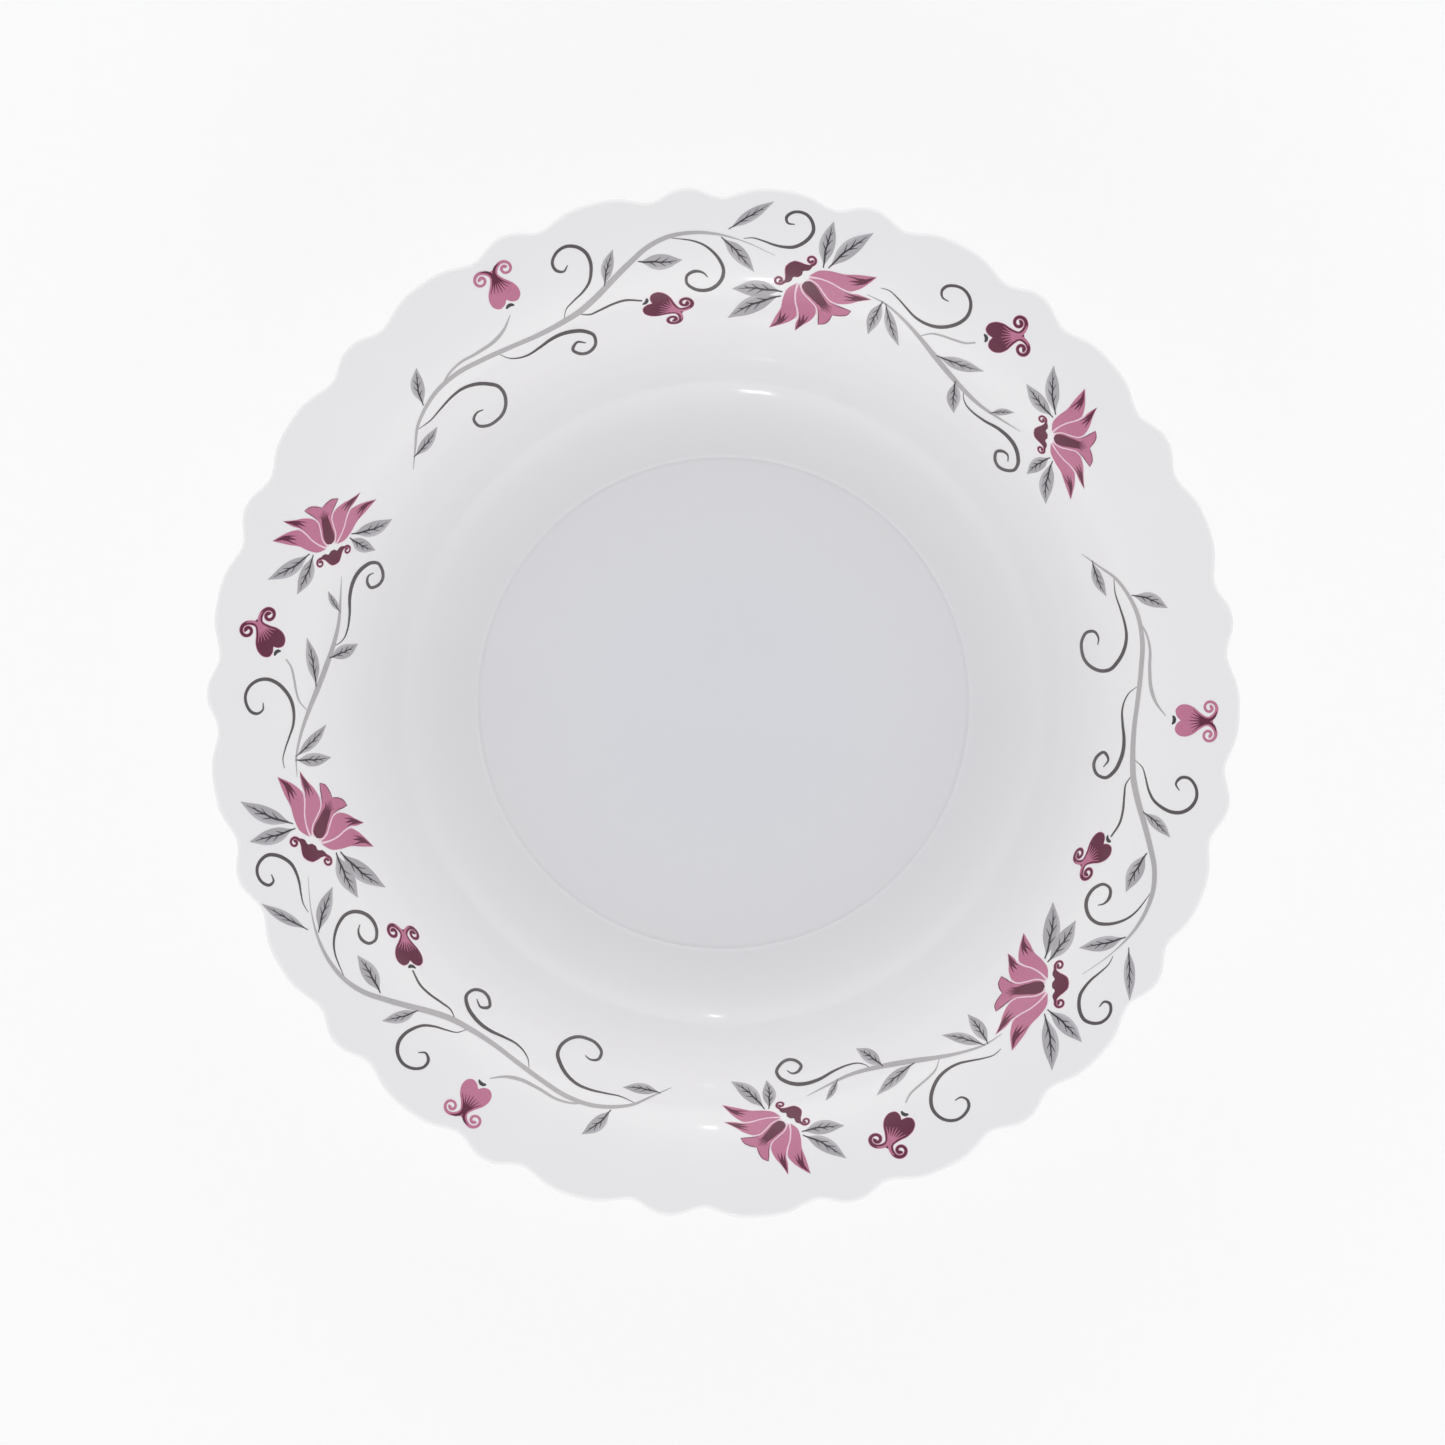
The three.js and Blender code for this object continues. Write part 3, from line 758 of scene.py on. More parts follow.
class Spray:
    """One of the three sprays. A place in it is degrees clockwise from its tail, and mm from the axis."""

    def __init__(self, number, surface):
        self.name = f"spray_{number + 1}"
        self.tail = math.radians(TAILS[number])
        self.surface = surface
        self.shift = surface.shape.rim_radius / MM - DRAWN_RIM

    def at(self, place):
        """A place in millimetres in plan."""
        degrees, radius = place
        angle = self.tail - math.radians(degrees)
        r = radius + self.shift
        return (r * math.cos(angle), r * math.sin(angle))

    def route(self, places):
        return [self.at(place) for place in places]

    def motif(self, at, heading, size):
        """A function that puts a point of a motif, forward and left in mm, on the bowl in plan mm.

        Distances across the border are measured along the sloping surface."""
        turn = math.radians(heading)
        degrees, radius = at
        steps = 8

        def place(point):
            forward, left = point
            along = size * (forward * math.cos(turn) - left * math.sin(turn))
            out = size * (forward * math.sin(turn) + left * math.cos(turn))
            r = radius + self.shift
            for _ in range(steps):
                r += out / steps * math.cos(self.surface.slope(r * MM))
            return self.at((degrees + math.degrees(along / r), r - self.shift))

        return place

    def coat(self, colour, layer):
        return Coat(self.surface, colour, layer)


def to_bowl(point):
    return (point[0] * MM, point[1] * MM)


def every_spray(context):
    surface = Surface(context.scene.bowl_shape)
    return [Spray(number, surface) for number in range(len(TAILS))]


# ------------------------------------------------------------------ leaves, stems and tendrils


LEAF_SIDE = [(0, 0.05), (0.10, 0.34), (0.26, 0.82), (0.45, 1.0), (0.66, 0.84), (0.86, 0.36), (1, 0)]
LEAF_SIDE_VEINS = (  # where each leaves the midrib, and its reach along and across
    (0.20, 0.17, -0.56), (0.29, 0.20, 0.64), (0.41, 0.18, -0.56), (0.50, 0.17, 0.48), (0.62, 0.13, -0.32),
)
MIDRIB = ((-0.07, 0.05), (0.1, 0.0), (0.3, 0.06), (0.5, -0.05), (0.86, 0.0))
MIDRIB_WIDTHS = (0.12, 0.20, 0.22, 0.17, 0.12, 0.05)
VEIN_WIDTHS = (0.13, 0.11, 0.04)
FULL_LEAF_WIDTH = 3.5  # mm, of the leaves that the vein widths are for
SHADED_SHARE = 0.62  # how much of the light side the darker blade covers
FAR_SHARE = 0.97  # and how much of the other side


def leaf_frame(base, tip, width, bow):
    """Puts a point of a leaf, as a share of its length and of half its width, between two plan points."""
    run = Vector((tip[0] - base[0], tip[1] - base[1]))
    side = Vector((-run.y, run.x)).normalized()

    def place(along, across):
        middle = Vector(base) + run * along
        offset = across * width / 2 + bow * 4 * along * (1 - along)
        return tuple(middle + side * offset)

    return place


def draw_leaves(spray, name, leaves, *stands_for):
    """Leaves from base to tip: a light blade, a darker one that leaves a light edge, and veins."""
    light = spray.coat("edge_grey", 0)
    dark = spray.coat("leaf_grey", 1)
    veins = spray.coat("charcoal", 2)
    for base, tip, width, bow, light_side in leaves:
        place = leaf_frame(base, tip, width, bow)
        one = [place(along, across) for along, across in LEAF_SIDE]
        other = [place(along, -across) for along, across in reversed(LEAF_SIDE)]
        light.fill(to_bowl, outline(one, other, [other[-1], one[0]]))
        near = [place(s, light_side * across * SHADED_SHARE) for s, across in LEAF_SIDE]
        far = [place(s, -light_side * across * FAR_SHARE) for s, across in reversed(LEAF_SIDE)]
        dark.fill(to_bowl, outline(near, far, [far[-1], near[0]]))
        fineness = width / FULL_LEAF_WIDTH
        midrib = [place(along, across) for along, across in MIDRIB]
        veins.line(to_bowl, midrib, [fineness * half for half in MIDRIB_WIDTHS])
        for start, reach, across in LEAF_SIDE_VEINS:
            vein = [place(start, 0), place(start + reach * 0.45, across * 0.35), place(start + reach, across)]
            veins.line(to_bowl, vein, [fineness * half for half in VEIN_WIDTHS])
    light.piece(f"{name}_edge")
    dark.piece(f"{name}_blade", *stands_for)
    veins.piece(f"{name}_veins")


STEM_WIDTHS = [0.06, 0.28, 0.42, 0.50, 0.50, 0.47, 0.54, 0.65, 0.63, 0.57, 0.48, 0.34, 0.10, 0.04]
SHORT_STEM_WIDTHS = [0.06, 0.2, 0.3, 0.44, 0.56, 0.56, 0.44, 0.34, 0.2, 0.04]
STALK_WIDTHS = [0.16, 0.26, 0.34, 0.40, 0.10]
THIN_STALK_WIDTHS = [0.08, 0.20, 0.24, 0.24, 0.16]
TENDRIL_WIDTHS = [0.06, 0.14, 0.21, 0.29, 0.37, 0.41, 0.40, 0.35, 0.32, 0.35, 0.10]


class VineData(NamedTuple):
    """The routes of one vine, as places in a spray."""

    stem: list
    stem_widths: list
    stalks: list
    leaves: list
    tendrils: list


LONG_VINE = VineData(
    stem=[
        (0, 86.9), (2.7, 89.5), (5, 91.95), (7.2, 93.3), (10.1, 94.4), (14, 94.5), (18, 93.5), (22.2, 92.5),
        (26.3, 91.9), (30, 92.2), (33.2, 93.2), (35.8, 95.0), (38.3, 97.4), (41, 100.2), (43.5, 102.8),
        (46.1, 104.4), (49.1, 104.9), (52, 104.4), (55.4, 102.9), (59.6, 100.3),
    ],
    stem_widths=STEM_WIDTHS,
    stalks=[
        (
            "stem_grey", STALK_WIDTHS,
            [(11.5, 94.6), (13, 95.5), (15, 95.9), (18, 95.4), (20.7, 95.5), (22.4, 96.4), (24.2, 98.6)],
        ),
        (
            "smoke", THIN_STALK_WIDTHS,
            [(32.6, 92.6), (34, 91.7), (35.5, 91.9), (37.6, 92.4), (39.2, 92.5), (41.6, 91.6)],
        ),
    ],
    leaves=[
        ((7.9, 94.7), (10.5, 101.2), 3.0, 0.5, 1),
        ((1.8, 88.3), (7.0, 88.9), 2.3, -0.3, -1),
        ((37.2, 97.1), (39.3, 103.9), 2.6, 0.3, 1),
        ((42.4, 99.9), (47.7, 99.1), 3.4, -0.2, -1),
        ((53.0, 103.2), (57.1, 96.3), 3.1, 0.3, -1),
    ],
    tendrils=[
        [
            (4.9, 91.5), (7, 90.9), (9, 91.1), (11.5, 91.4), (13, 91.3), (15, 90.3), (16.6, 88.6),
            (17.6, 86.8), (17.7, 85.2), (17, 83.1), (15.8, 81.8), (14.3, 81.4), (12.6, 81.8), (11.5, 83.2),
            (11.6, 84.6), (12.7, 85.3), (13.7, 84.9),
        ],
        [
            (20.3, 92.4), (21.1, 90.7), (22.2, 89.7), (23.5, 89.2), (25.6, 89.4), (27.6, 89.9), (29.2, 90.0),
            (30.9, 89.6), (32.5, 88.7), (33.6, 87.1), (33.4, 85.4), (31.9, 84.2), (30.6, 84.7), (29.9, 85.9),
            (30.9, 87.1), (32.1, 86.3),
        ],
        [
            (30.5, 92.9), (31.2, 94.5), (32.5, 95.6), (34.1, 96.8), (35.3, 98.4), (35.9, 100.3),
            (36.2, 102.5), (36, 104.7), (35.2, 106.5), (33.8, 107.4), (32.4, 106.5), (31.7, 104.8),
            (31.8, 103.3), (32.7, 102.4), (33.4, 103.4),
        ],
        [
            (46.6, 104.1), (48, 103.6), (49.2, 103.1), (50.4, 102.2), (51.6, 100.6), (52.5, 98.7), (53, 96.7),
            (52.9, 95), (52.3, 93.5), (51.2, 92.4), (50, 92.2), (48.8, 92.8), (48, 94.1), (48.1, 95.5),
            (49.1, 96.4), (50.4, 95.9), (50.9, 95.0),
        ],
    ],
)

SHORT_VINE = VineData(
    stem=[
        (72.4, 96.5), (74.9, 96.05), (77.9, 94.6), (81.1, 92.65), (84.5, 90.6), (88, 89), (91.1, 88.1),
        (94, 87.9), (97.1, 88.6), (100.6, 89.9),
    ],
    stem_widths=SHORT_STEM_WIDTHS,
    stalks=[
        (
            "stem_grey", THIN_STALK_WIDTHS,
            [(81.2, 92.9), (82.5, 94.6), (83.8, 95.3), (85.2, 95.8), (87.2, 96.9), (88, 98.0)],
        ),
    ],
    leaves=[
        ((74.6, 95.8), (74.4, 88.5), 3.0, -0.2, 1),
        ((75.3, 95.6), (79.2, 88.9), 2.4, -0.3, -1),
        ((85.0, 91.1), (91.2, 94.1), 2.6, -0.2, 1),
        ((88.9, 88.3), (91.5, 83.1), 3.0, -0.2, 1),
        ((95.7, 88.2), (98.1, 91.8), 1.5, 0.2, 1),
    ],
    tendrils=[
        [
            (90.5, 88.2), (91.2, 86.9), (92.1, 86.1), (93.3, 85.8), (95.5, 86.0), (98.4, 87.0), (100, 87.2),
            (101.7, 86.9), (103.1, 86.0), (104, 84.9), (104.3, 83.6), (103.7, 82.4), (102.25, 81.5),
            (100.9, 82.2), (100.4, 83.3), (101.0, 84.3), (102.0, 84.5), (102.7, 83.7),
        ],
    ],
)

LOOSE_LEAF = ((54.0, 105.8), (58.8, 112.1), 2.5, 0.1, -1)
LONG_TENDRIL = [
    (55.5, 103.5), (56.6, 103.7), (58, 103.2), (59.3, 102.6), (60.6, 102.4), (61.8, 102.7), (62.8, 103.8),
    (63.5, 105.3), (63.8, 106.9), (63.5, 108.7), (62.8, 110.05), (61.8, 110.5), (60.9, 110.0), (60.4, 108.8),
    (60.6, 107.8), (61.5, 107.6),
]
SHORT_TENDRIL = [
    (73.8, 98.9), (74.9, 99), (76.3, 98.2), (77.9, 97), (79.3, 96.1), (81.1, 95.85), (82.6, 96.4), (84, 97.9),
    (84.9, 99.8), (85.25, 101.7), (85.05, 103.7), (84.3, 105.5), (83.15, 106.4), (82, 106.1), (81.1, 104.9),
    (80.95, 103.8), (81.4, 102.6), (82.3, 102.5),
]


def placed_leaf(spray, leaf):
    base, tip, width, bow, light_side = leaf
    return (spray.at(base), spray.at(tip), width, bow, light_side)


def draw_vine(spray, name, vine):
    stem = spray.coat("stem_grey", 1)
    stem.line(to_bowl, spray.route(vine.stem), vine.stem_widths, across=4)
    stem.piece(f"{name}_stem", name)
    for i, (colour, widths, points) in enumerate(vine.stalks):
        stalk = spray.coat(colour, 0)
        stalk.line(to_bowl, spray.route(points), widths)
        stalk.piece(f"{name}_stalk_{i + 1}")
    draw_leaves(spray, f"{name}_leaves", [placed_leaf(spray, leaf) for leaf in vine.leaves])
    tendrils = spray.coat("smoke", 0)
    for points in vine.tendrils:
        tendrils.line(to_bowl, spray.route(points), TENDRIL_WIDTHS)
    tendrils.piece(f"{name}_tendrils")


class BOWL_OT_vines(bpy.types.Operator):
    """Draw the vines, loose leaves and loose tendrils of every spray"""

    bl_idname = "bowl.vines"
    bl_label = "Vines"

    def execute(self, context):
        for spray in every_spray(context):
            draw_vine(spray, f"{spray.name}_long_vine", LONG_VINE)
            draw_vine(spray, f"{spray.name}_short_vine", SHORT_VINE)
            name = f"{spray.name}_loose_leaf"
            draw_leaves(spray, name, [placed_leaf(spray, LOOSE_LEAF)], name)
            for kind, points in (("long_tendril", LONG_TENDRIL), ("short_tendril", SHORT_TENDRIL)):
                tendril = spray.coat("smoke", 0)
                tendril.line(to_bowl, spray.route(points), TENDRIL_WIDTHS)
                tendril.piece(f"{spray.name}_{kind}_line", f"{spray.name}_{kind}")
        return {"FINISHED"}


# ------------------------------------------------------------------ buds


BUDS = {  # headings are in degrees, 0 clockwise along the border and 90 out to the rim
    "outer_bud": {"at": (24.7, 101.2), "heading": 90, "size": 1.0, "colours": ("pink", "plum")},
    "inner_bud": {"at": (42.5, 90.9), "heading": -33, "size": 1.0, "colours": ("plum", "pink")},
    "short_vine_bud": {"at": (89.1, 100.6), "heading": 42, "size": 0.97, "colours": ("plum", "pink")},
}
HEART_SIDE = [
    (0.8, 0), (-0.15, 0.9), (-0.5, 2.1), (0.35, 3.25), (1.9, 3.6), (3.7, 3.05), (5.3, 1.85), (6.7, 1.05),
    (7.7, 0.85), (8.3, 0.45),
]
HORN = [(6.6, 0.45), (7.6, 0.7), (8.4, 1.3)]
MARKED_HORN = [(7.0, 0.2), (8.0, 0.55), (8.75, 1.3), (9.1, 2.3)]
MARKED_HORN_WIDTHS = [0.34, 0.32, 0.24, 0.05]
NECK = [(5.2, 0), (6.3, 0), (7.7, 0)]
NECK_WIDTHS = [0.25, 0.62, 0.72, 0.45]
STREAK_WIDTHS = [0.14, 0.18, 0.15, 0.10, 0.04]
CALYX = [(-1.25, -0.95), (-0.8, -0.4), (-0.75, 0.35), (-1.15, 0.95)]
CALYX_WIDTHS = [0.16, 0.42, 0.44, 0.20]
SCROLL_CENTRE = (7.45, 3.0)
SCROLL_WIDTHS = [0.42, 0.42, 0.37, 0.32, 0.29, 0.30, 0.40]
FAN = range(-3, 4)
HALO = 0.13  # mm, how far a paler coat shows round a dark one


def scroll(centre, outer, inner, start, turns, lead=()):
    """A route along a lead and then round a centre, winding in. It turns from forward towards left."""
    count = math.ceil(turns * 12)
    points = list(lead)
    for i in range(count + 1):
        share = i / count
        radius = lerp(outer, inner, share)
        turn = start + TURN * turns * share
        points.append((centre[0] + radius * math.cos(turn), centre[1] + radius * math.sin(turn)))
    return points


def on_bowl(place):
    """Chains a motif's own frame to the bowl."""
    return lambda point: to_bowl(place(point))


def heart(grown=0.0):
    """The outline of a bud's body, optionally grown outwards."""
    left = grow(HEART_SIDE, grown)
    right = mirrored(left)
    return outline(left, [left[-1], right[-1]], right[::-1])


def grow(side, distance):
    """Moves the left side of a motif outwards, and keeps its ends on the middle line."""
    moved = [(side[0][0] - distance, side[0][1])]
    for before, at, after in zip(side, side[1:], side[2:]):
        run = Vector((after[0] - before[0], after[1] - before[1])).normalized()
        moved.append((at[0] - run.y * distance, at[1] + run.x * distance))
    return moved + [side[-1]]


def draw_bud(spray, kind, bud):
    place = on_bowl(spray.motif(bud["at"], bud["heading"], bud["size"]))
    main, accent = bud["colours"]
    name = f"{spray.name}_{kind}"
    body = spray.coat(main, 1)
    body.fill(place, heart())
    route = scroll(SCROLL_CENTRE, 1.68, 0.30, -0.35, 1.3, HORN)
    for points in (route, mirrored(route)):
        body.line(place, points, SCROLL_WIDTHS)
    body.piece(f"{name}_heart", name)
    if main == "plum":
        halo = spray.coat("pink", 0)
        halo.fill(place, heart(HALO))
        for points in (route, mirrored(route)):
            halo.line(place, points, [width + HALO for width in SCROLL_WIDTHS])
        halo.piece(f"{name}_halo")
    marks = spray.coat(accent, 2)
    marks.line(place, NECK, NECK_WIDTHS, across=4)
    for horn in (MARKED_HORN, mirrored(MARKED_HORN)):
        marks.line(place, horn, MARKED_HORN_WIDTHS)
    for k in FAN:
        streak = [(6.9, 0.12 * k), (5.3, 0.38 * k), (2.7 + 0.3 * abs(k), 0.84 * k)]
        marks.line(place, streak, STREAK_WIDTHS)
    marks.piece(f"{name}_streaks")
    calyx = spray.coat("charcoal", 0)
    calyx.line(place, CALYX, CALYX_WIDTHS)
    calyx.piece(f"{name}_calyx")


class BOWL_OT_buds(bpy.types.Operator):
    """Draw the buds of every spray"""

    bl_idname = "bowl.buds"
    bl_label = "Buds"

    def execute(self, context):
        for spray in every_spray(context):
            for kind, bud in BUDS.items():
                draw_bud(spray, kind, bud)
        return {"FINISHED"}


# ------------------------------------------------------------------ flowers


FLOWERS = {
    "large_flower": {"at": (63.5, 96.2), "heading": -45, "size": 1.0},
    "small_flower": {"at": (103.9, 94.0), "heading": 41, "size": 0.86},
}
OUTER_PETAL = (
    [(0.3, 1.8), (0.4, 4.3), (2.0, 6.8), (3.9, 8.8), (5.4, 11.4), (7.9, 15.3)],
    [(7.9, 15.3), (8.4, 12.2), (8.5, 9.9), (7.95, 7.6), (6.44, 6.37), (4.14, 5.15), (2.02, 3.54), (0.3, 1.8)],
)
INNER_PETAL = (
    [(0.7, 1.35), (2.28, 3.26), (4.36, 4.85), (6.66, 6.03), (8.3, 7.15), (9.45, 8.8), (11.8, 11.0)],
    [
        (11.8, 11.0), (10.95, 8.0), (10.5, 5.5), (9.35, 3.15), (7.9, 2.14), (5.6, 2.08), (3.0, 2.18),
        (0.7, 1.35),
    ],
)
BELL_SIDE = [(0.95, 0), (1.6, 1.25), (3.05, 1.84), (5.6, 1.74), (7.95, 1.8), (9.7, 2.65), (12.4, 4.8)]
BELL_LOBE = [(12.4, 4.8), (12.9, 3.2), (12.4, 1.4), (11.5, 0.0)]
THROAT_SIDE = [(1.0, 0), (1.5, 1.05), (2.9, 1.5), (4.6, 1.42), (6.2, 1.0), (7.6, 0.5)]
PETAL_LINES = (
    [(0.5, 1.55), (2.15, 3.4), (4.25, 5.0), (6.55, 6.2), (8.1, 7.36), (8.5, 8.1)],
    [(0.95, 0.6), (1.4, 1.5), (3.0, 2.01), (5.6, 1.91), (7.92, 1.97), (9.2, 2.62), (9.8, 3.3)],
)
LINE_WIDTHS = [0.20, 0.27, 0.27, 0.27, 0.27, 0.27, 0.10]
FLAMES = (
    ([(7.75, 14.7), (7.6, 12.9), (7.2, 11.3), (5.8, 8.9)], [0.05, 0.34, 0.42, 0.28, 0.03]),
    ([(7.75, 13.6), (7.75, 11.8), (7.4, 10.3), (6.8, 8.8)], [0.10, 0.28, 0.24, 0.14, 0.03]),
    ([(7.4, 12.8), (6.6, 11.3), (5.6, 10.3), (4.6, 9.2)], [0.10, 0.27, 0.21, 0.12, 0.03]),
    ([(11.45, 10.6), (10.6, 9.0), (9.9, 7.5), (8.3, 5.6)], [0.05, 0.30, 0.37, 0.26, 0.03]),
    ([(11.1, 9.8), (10.5, 7.9), (9.9, 6.4), (9.1, 4.9)], [0.10, 0.24, 0.21, 0.14, 0.03]),
    ([(10.7, 9.4), (9.6, 8.0), (8.7, 7.1), (7.5, 6.5)], [0.10, 0.24, 0.19, 0.11, 0.03]),
)
BELL_EDGES = (
    [(8.6, 1.95), (9.7, 2.58), (10.9, 3.6), (12.3, 4.72)],
    [(12.35, 4.7), (12.8, 3.2), (12.3, 1.45), (11.5, 0.1)],
)
BELL_EDGE_WIDTHS = [0.04, 0.10, 0.10, 0.05]
FRINGE_WIDTHS = [0.14, 0.20, 0.20, 0.14, 0.09, 0.04]
CAP_SIDE = [(-4.75, 0), (-4.5, 1.15), (-3.5, 2.05), (-2.5, 2.7), (-1.9, 3.4)]
CAP_UNDER = [(-1.9, 3.4), (-1.15, 3.5), (-0.85, 2.5), (-1.4, 1.3), (-0.8, 0.55), (-0.75, 0)]
CAP_SCROLL_CENTRE = (-2.6, 4.4)
CAP_SCROLL_WIDTHS = [0.34, 0.24, 0.20, 0.19, 0.21, 0.30]
FLOWER_LEAVES = (((0.8, 7.5), (-0.7, 20.3), 3.6, 0.5), ((-0.2, 6.2), (-7.3, 13.9), 3.5, 0.3))


def draw_petals(spray, name, place):
    petals = spray.coat("pink", 1)
    lines = spray.coat("pale_pink", 0)
    marks = spray.coat("plum", 2)
    bell = outline(BELL_SIDE, BELL_LOBE, mirrored(BELL_LOBE)[::-1], mirrored(BELL_SIDE)[::-1])
    petals.fill(place, bell)
    for flip in (list, mirrored):
        for petal in (OUTER_PETAL, INNER_PETAL):
            petals.fill(place, outline(*(flip(stretch) for stretch in petal)))
        for line in PETAL_LINES:
            lines.line(place, flip(line), LINE_WIDTHS)
        for flame, widths in FLAMES:
            marks.line(place, flip(flame), widths)
        for edge in BELL_EDGES:
            marks.line(place, flip(edge), BELL_EDGE_WIDTHS)
    throat = mirrored(THROAT_SIDE)[::-1]
    marks.fill(place, outline(THROAT_SIDE, [THROAT_SIDE[-1], throat[0]], throat))
    for k in FAN:
        fringe = [(4.8, 0.40 * k), (7.0, 0.32 * k), (9.0, 0.34 * k), (10.8 - 0.45 * abs(k), 0.50 * k)]
        marks.line(place, fringe, FRINGE_WIDTHS)
    petals.piece(f"{name}_petals", name)
    lines.piece(f"{name}_petal_lines")
    marks.piece(f"{name}_petal_marks")


def draw_cap(spray, name, place):
    route = scroll(CAP_SCROLL_CENTRE, 1.2, 0.3, -0.45, 1.25, [(-1.4, 3.0)])
    for colour, layer, grown, kind in (("plum", 1, 0.0, "scrolls"), ("pink", 0, HALO, "halo")):
        cap = spray.coat(colour, layer)
        side = grow(CAP_SIDE, grown)
        under = mirrored(CAP_UNDER)[::-1]
        cap.fill(place, outline(side, CAP_UNDER, under, mirrored(side)[::-1]))
        for points in (route, mirrored(route)):
            cap.line(place, points, [width + grown for width in CAP_SCROLL_WIDTHS])
        stands_for = (f"{name}_cap",) if colour == "plum" else ()
        cap.piece(f"{name}_cap_{kind}", *stands_for)


class BOWL_OT_flowers(bpy.types.Operator):
    """Draw the flowers of every spray, with their caps and leaves"""

    bl_idname = "bowl.flowers"
    bl_label = "Flowers"

    def execute(self, context):
        for spray in every_spray(context):
            for kind, flower in FLOWERS.items():
                name = f"{spray.name}_{kind}"
                put = spray.motif(flower["at"], flower["heading"], flower["size"])
                draw_petals(spray, name, on_bowl(put))
                draw_cap(spray, name, on_bowl(put))
                for side, flip in (("left", 1), ("right", -1)):
                    leaves = [
                        (put((base[0], base[1] * flip)), put((tip[0], tip[1] * flip)), width * flower["size"],
                         bow * flip, flip)
                        for base, tip, width, bow in FLOWER_LEAVES
                    ]
                    draw_leaves(spray, f"{name}_{side}_leaf", leaves, f"{name}_{side}_leaves")
        return {"FINISHED"}


# ------------------------------------------------------------------ the studio


FLOOR_HALF = 3.0
FLOOR_GAP = 0.0001  # so that the standing face and the floor stay apart
SHADOW_RADIUS = 0.116  # under the bowl the floor lights itself less and less towards the middle
FLOOR_DARK = (0.49, 0.49, 0.49)
FLOOR_LIGHT = (0.51, 0.51, 0.51)
SENSOR = 36.0  # mm
FAR_CLIP = 50.0
SOFTBOXES = (  # name, direction round the bowl and height above the horizon in degrees, width
    ("lamp_front", -95.0, 23.7, 0.068),
    ("lamp_back", 89.2, 23.7, 0.020),
)
SOFTBOX_HEIGHT = 0.024
SOFTBOX_DISTANCE = 1.0
DOME_STOPS = (  # sine of the height above the horizon, colour
    (0.0, (0.62, 0.61, 0.61)),
    (0.16, (1.14, 1.12, 1.11)),
    (0.34, (1.28, 1.26, 1.24)),
    (0.60, (0.85, 0.85, 0.85)),
    (1.0, (0.56, 0.58, 0.625)),
)
FRONT_BACK_GAIN = 0.56  # how much stronger the dome is in front and behind than on either side


def build_floor(studio):
    mesh = bpy.data.meshes.new("pale_floor")
    half = FLOOR_HALF
    corners = [(-half, -half), (half, -half), (half, half), (-half, half)]
    mesh.from_pydata([(x, y, -FLOOR_GAP) for x, y in corners], [], [(0, 1, 2, 3)])
    floor = bpy.data.objects.new("pale_floor", mesh)
    bpy.context.scene.collection.objects.link(floor)
    matt = {"Roughness": 0.9, "Specular IOR Level": 0.0, "Emission Strength": studio.floor_glow}
    shader = Shader("pale_paper", matt)
    fibre = shader.noise(scale=300.0)
    shader.drive("Base Color", shader.mix(fibre, rgba(FLOOR_DARK), rgba(FLOOR_LIGHT)))
    shadow = shader.near_axis(SHADOW_RADIUS)
    shader.drive("Emission Color", shader.mix(shadow, (1, 1, 1, 1), (0, 0, 0, 1)))
    mesh.materials.append(shader.material)


def build_dome(studio):
    """Light all round: brightest low down in front and behind, dimmer and a little bluer overhead."""
    world = bpy.data.worlds.new("studio_dome")
    world.use_nodes = True
    bpy.context.scene.world = world
    nodes = Nodes(world.node_tree)
    direction = nodes.node("ShaderNodeTexCoord", {}, {}).outputs["Generated"]
    split = nodes.node("ShaderNodeSeparateXYZ", {}, {0: direction})
    stops = [(position, rgba(colour)) for position, colour in DOME_STOPS]
    ramp = nodes.node("ShaderNodeValToRGB", {"stops": stops}, {0: split.outputs["Z"]})
    forward = Value(nodes, split.outputs["Y"])
    background = nodes.tree.nodes["Background"]
    nodes.link(ramp.outputs[0], background.inputs["Color"])
    nodes.link(studio.dome_strength + FRONT_BACK_GAIN * forward * forward, background.inputs["Strength"])


def build_softboxes(studio):
    """Small lamps low down in front and behind, which draw the glints in the well and on the lip."""
    for name, azimuth, elevation, width in SOFTBOXES:
        light = bpy.data.lights.new(name, "AREA")
        light.shape = "RECTANGLE"
        light.size = width
        light.size_y = SOFTBOX_HEIGHT
        light.energy = studio.lamp_radiance * math.pi * width * SOFTBOX_HEIGHT
        lamp = bpy.data.objects.new(name, light)
        turn = Euler((0, math.radians(-elevation), math.radians(azimuth))).to_matrix()
        lamp.location = turn @ Vector((SOFTBOX_DISTANCE, 0, 0))
        lamp.rotation_euler = (-lamp.location).to_track_quat("-Z", "Y").to_euler()
        bpy.context.scene.collection.objects.link(lamp)


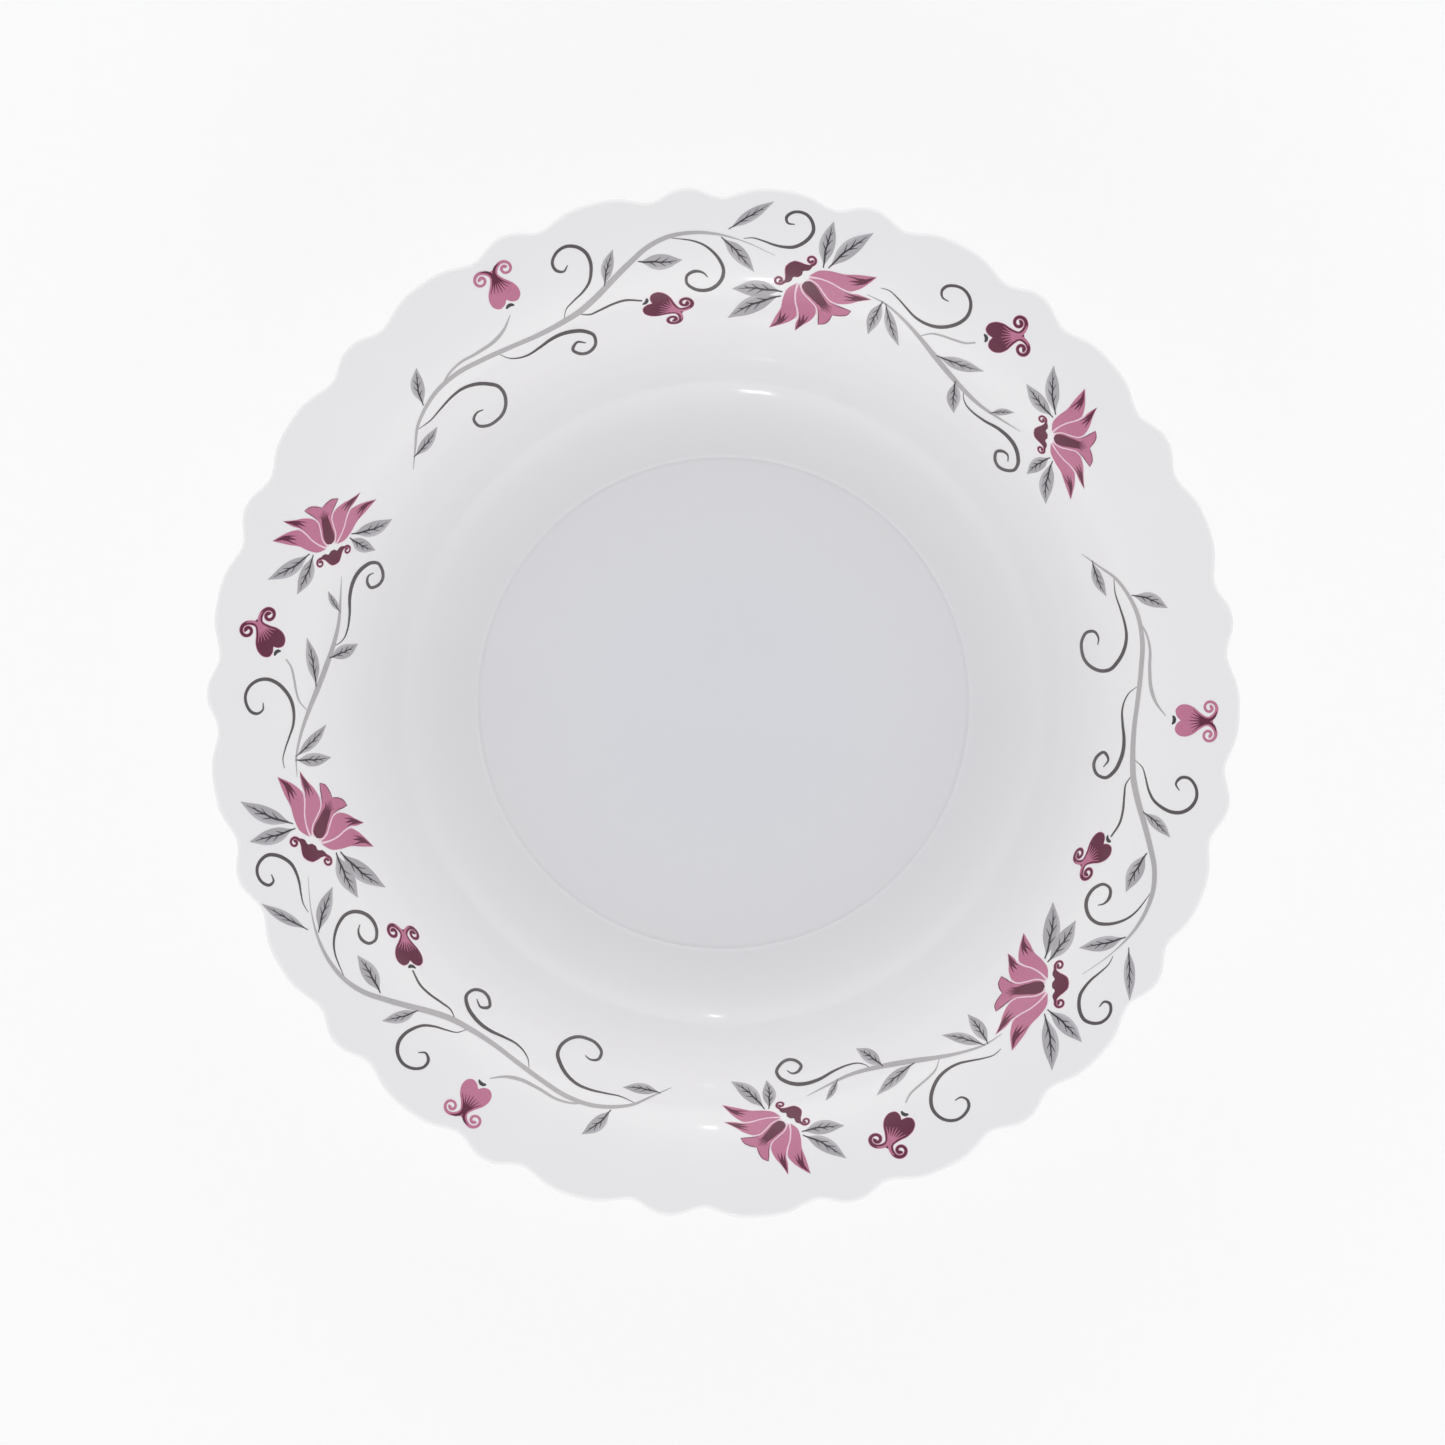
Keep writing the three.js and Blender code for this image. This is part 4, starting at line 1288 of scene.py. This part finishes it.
def build_camera(studio, surface):
    data = bpy.data.cameras.new("studio_camera")
    data.sensor_width = SENSOR
    data.lens = SENSOR * studio.camera_height / studio.view_width
    data.clip_end = FAR_CLIP
    camera = bpy.data.objects.new("studio_camera", data)
    turn = Euler((0, 0, studio.camera_roll))
    middle = turn.to_matrix() @ Vector((studio.view_x, studio.view_y, 0))
    camera.location = middle + Vector((0, 0, surface.rim_z + studio.camera_height))
    camera.rotation_euler = turn
    bpy.context.scene.collection.objects.link(camera)
    bpy.context.scene.camera = camera


class BOWL_OT_studio(bpy.types.Operator):
    """Set up the floor, the lights and the camera"""

    bl_idname = "bowl.studio"
    bl_label = "Studio"

    def execute(self, context):
        studio = context.scene.studio_look
        build_floor(studio)
        build_dome(studio)
        build_softboxes(studio)
        build_camera(studio, Surface(context.scene.bowl_shape))
        context.scene.view_settings.view_transform = "Standard"
        return {"FINISHED"}


# ------------------------------------------------------------------ the add-on


class BOWL_PT_panel(bpy.types.Panel):
    """The bowl's sizes and looks, and the buttons that build it"""

    bl_idname = "BOWL_PT_panel"
    bl_label = "Serving Bowl"
    bl_space_type = "VIEW_3D"
    bl_region_type = "UI"
    bl_category = "Bowl"

    def draw(self, context):
        layout = self.layout
        for group, _ in GROUPS:
            box = layout.box()
            settings = getattr(context.scene, group)
            for name in settings.bl_rna.properties.keys():
                if name not in ("rna_type", "name"):
                    box.prop(settings, name)
        for operator in OPERATORS:
            layout.operator(operator.bl_idname)


GROUPS = (
    ("bowl_shape", BowlShape),
    ("enamel_look", EnamelLook),
    ("glaze_look", GlazeLook),
    ("studio_look", StudioLook),
)
OPERATORS = (BOWL_OT_body, BOWL_OT_vines, BOWL_OT_buds, BOWL_OT_flowers, BOWL_OT_studio)


def register():
    for name, group in GROUPS:
        bpy.utils.register_class(group)
        setattr(bpy.types.Scene, name, PointerProperty(type=group))
    for operator in OPERATORS:
        bpy.utils.register_class(operator)
    bpy.utils.register_class(BOWL_PT_panel)


def unregister():
    bpy.utils.unregister_class(BOWL_PT_panel)
    for operator in reversed(OPERATORS):
        bpy.utils.unregister_class(operator)
    for name, group in reversed(GROUPS):
        delattr(bpy.types.Scene, name)
        bpy.utils.unregister_class(group)


def main():
    register()
    bpy.ops.bowl.body()
    bpy.ops.bowl.vines()
    bpy.ops.bowl.buds()
    bpy.ops.bowl.flowers()
    bpy.ops.bowl.studio()
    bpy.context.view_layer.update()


if __name__ == "__main__":
    main()
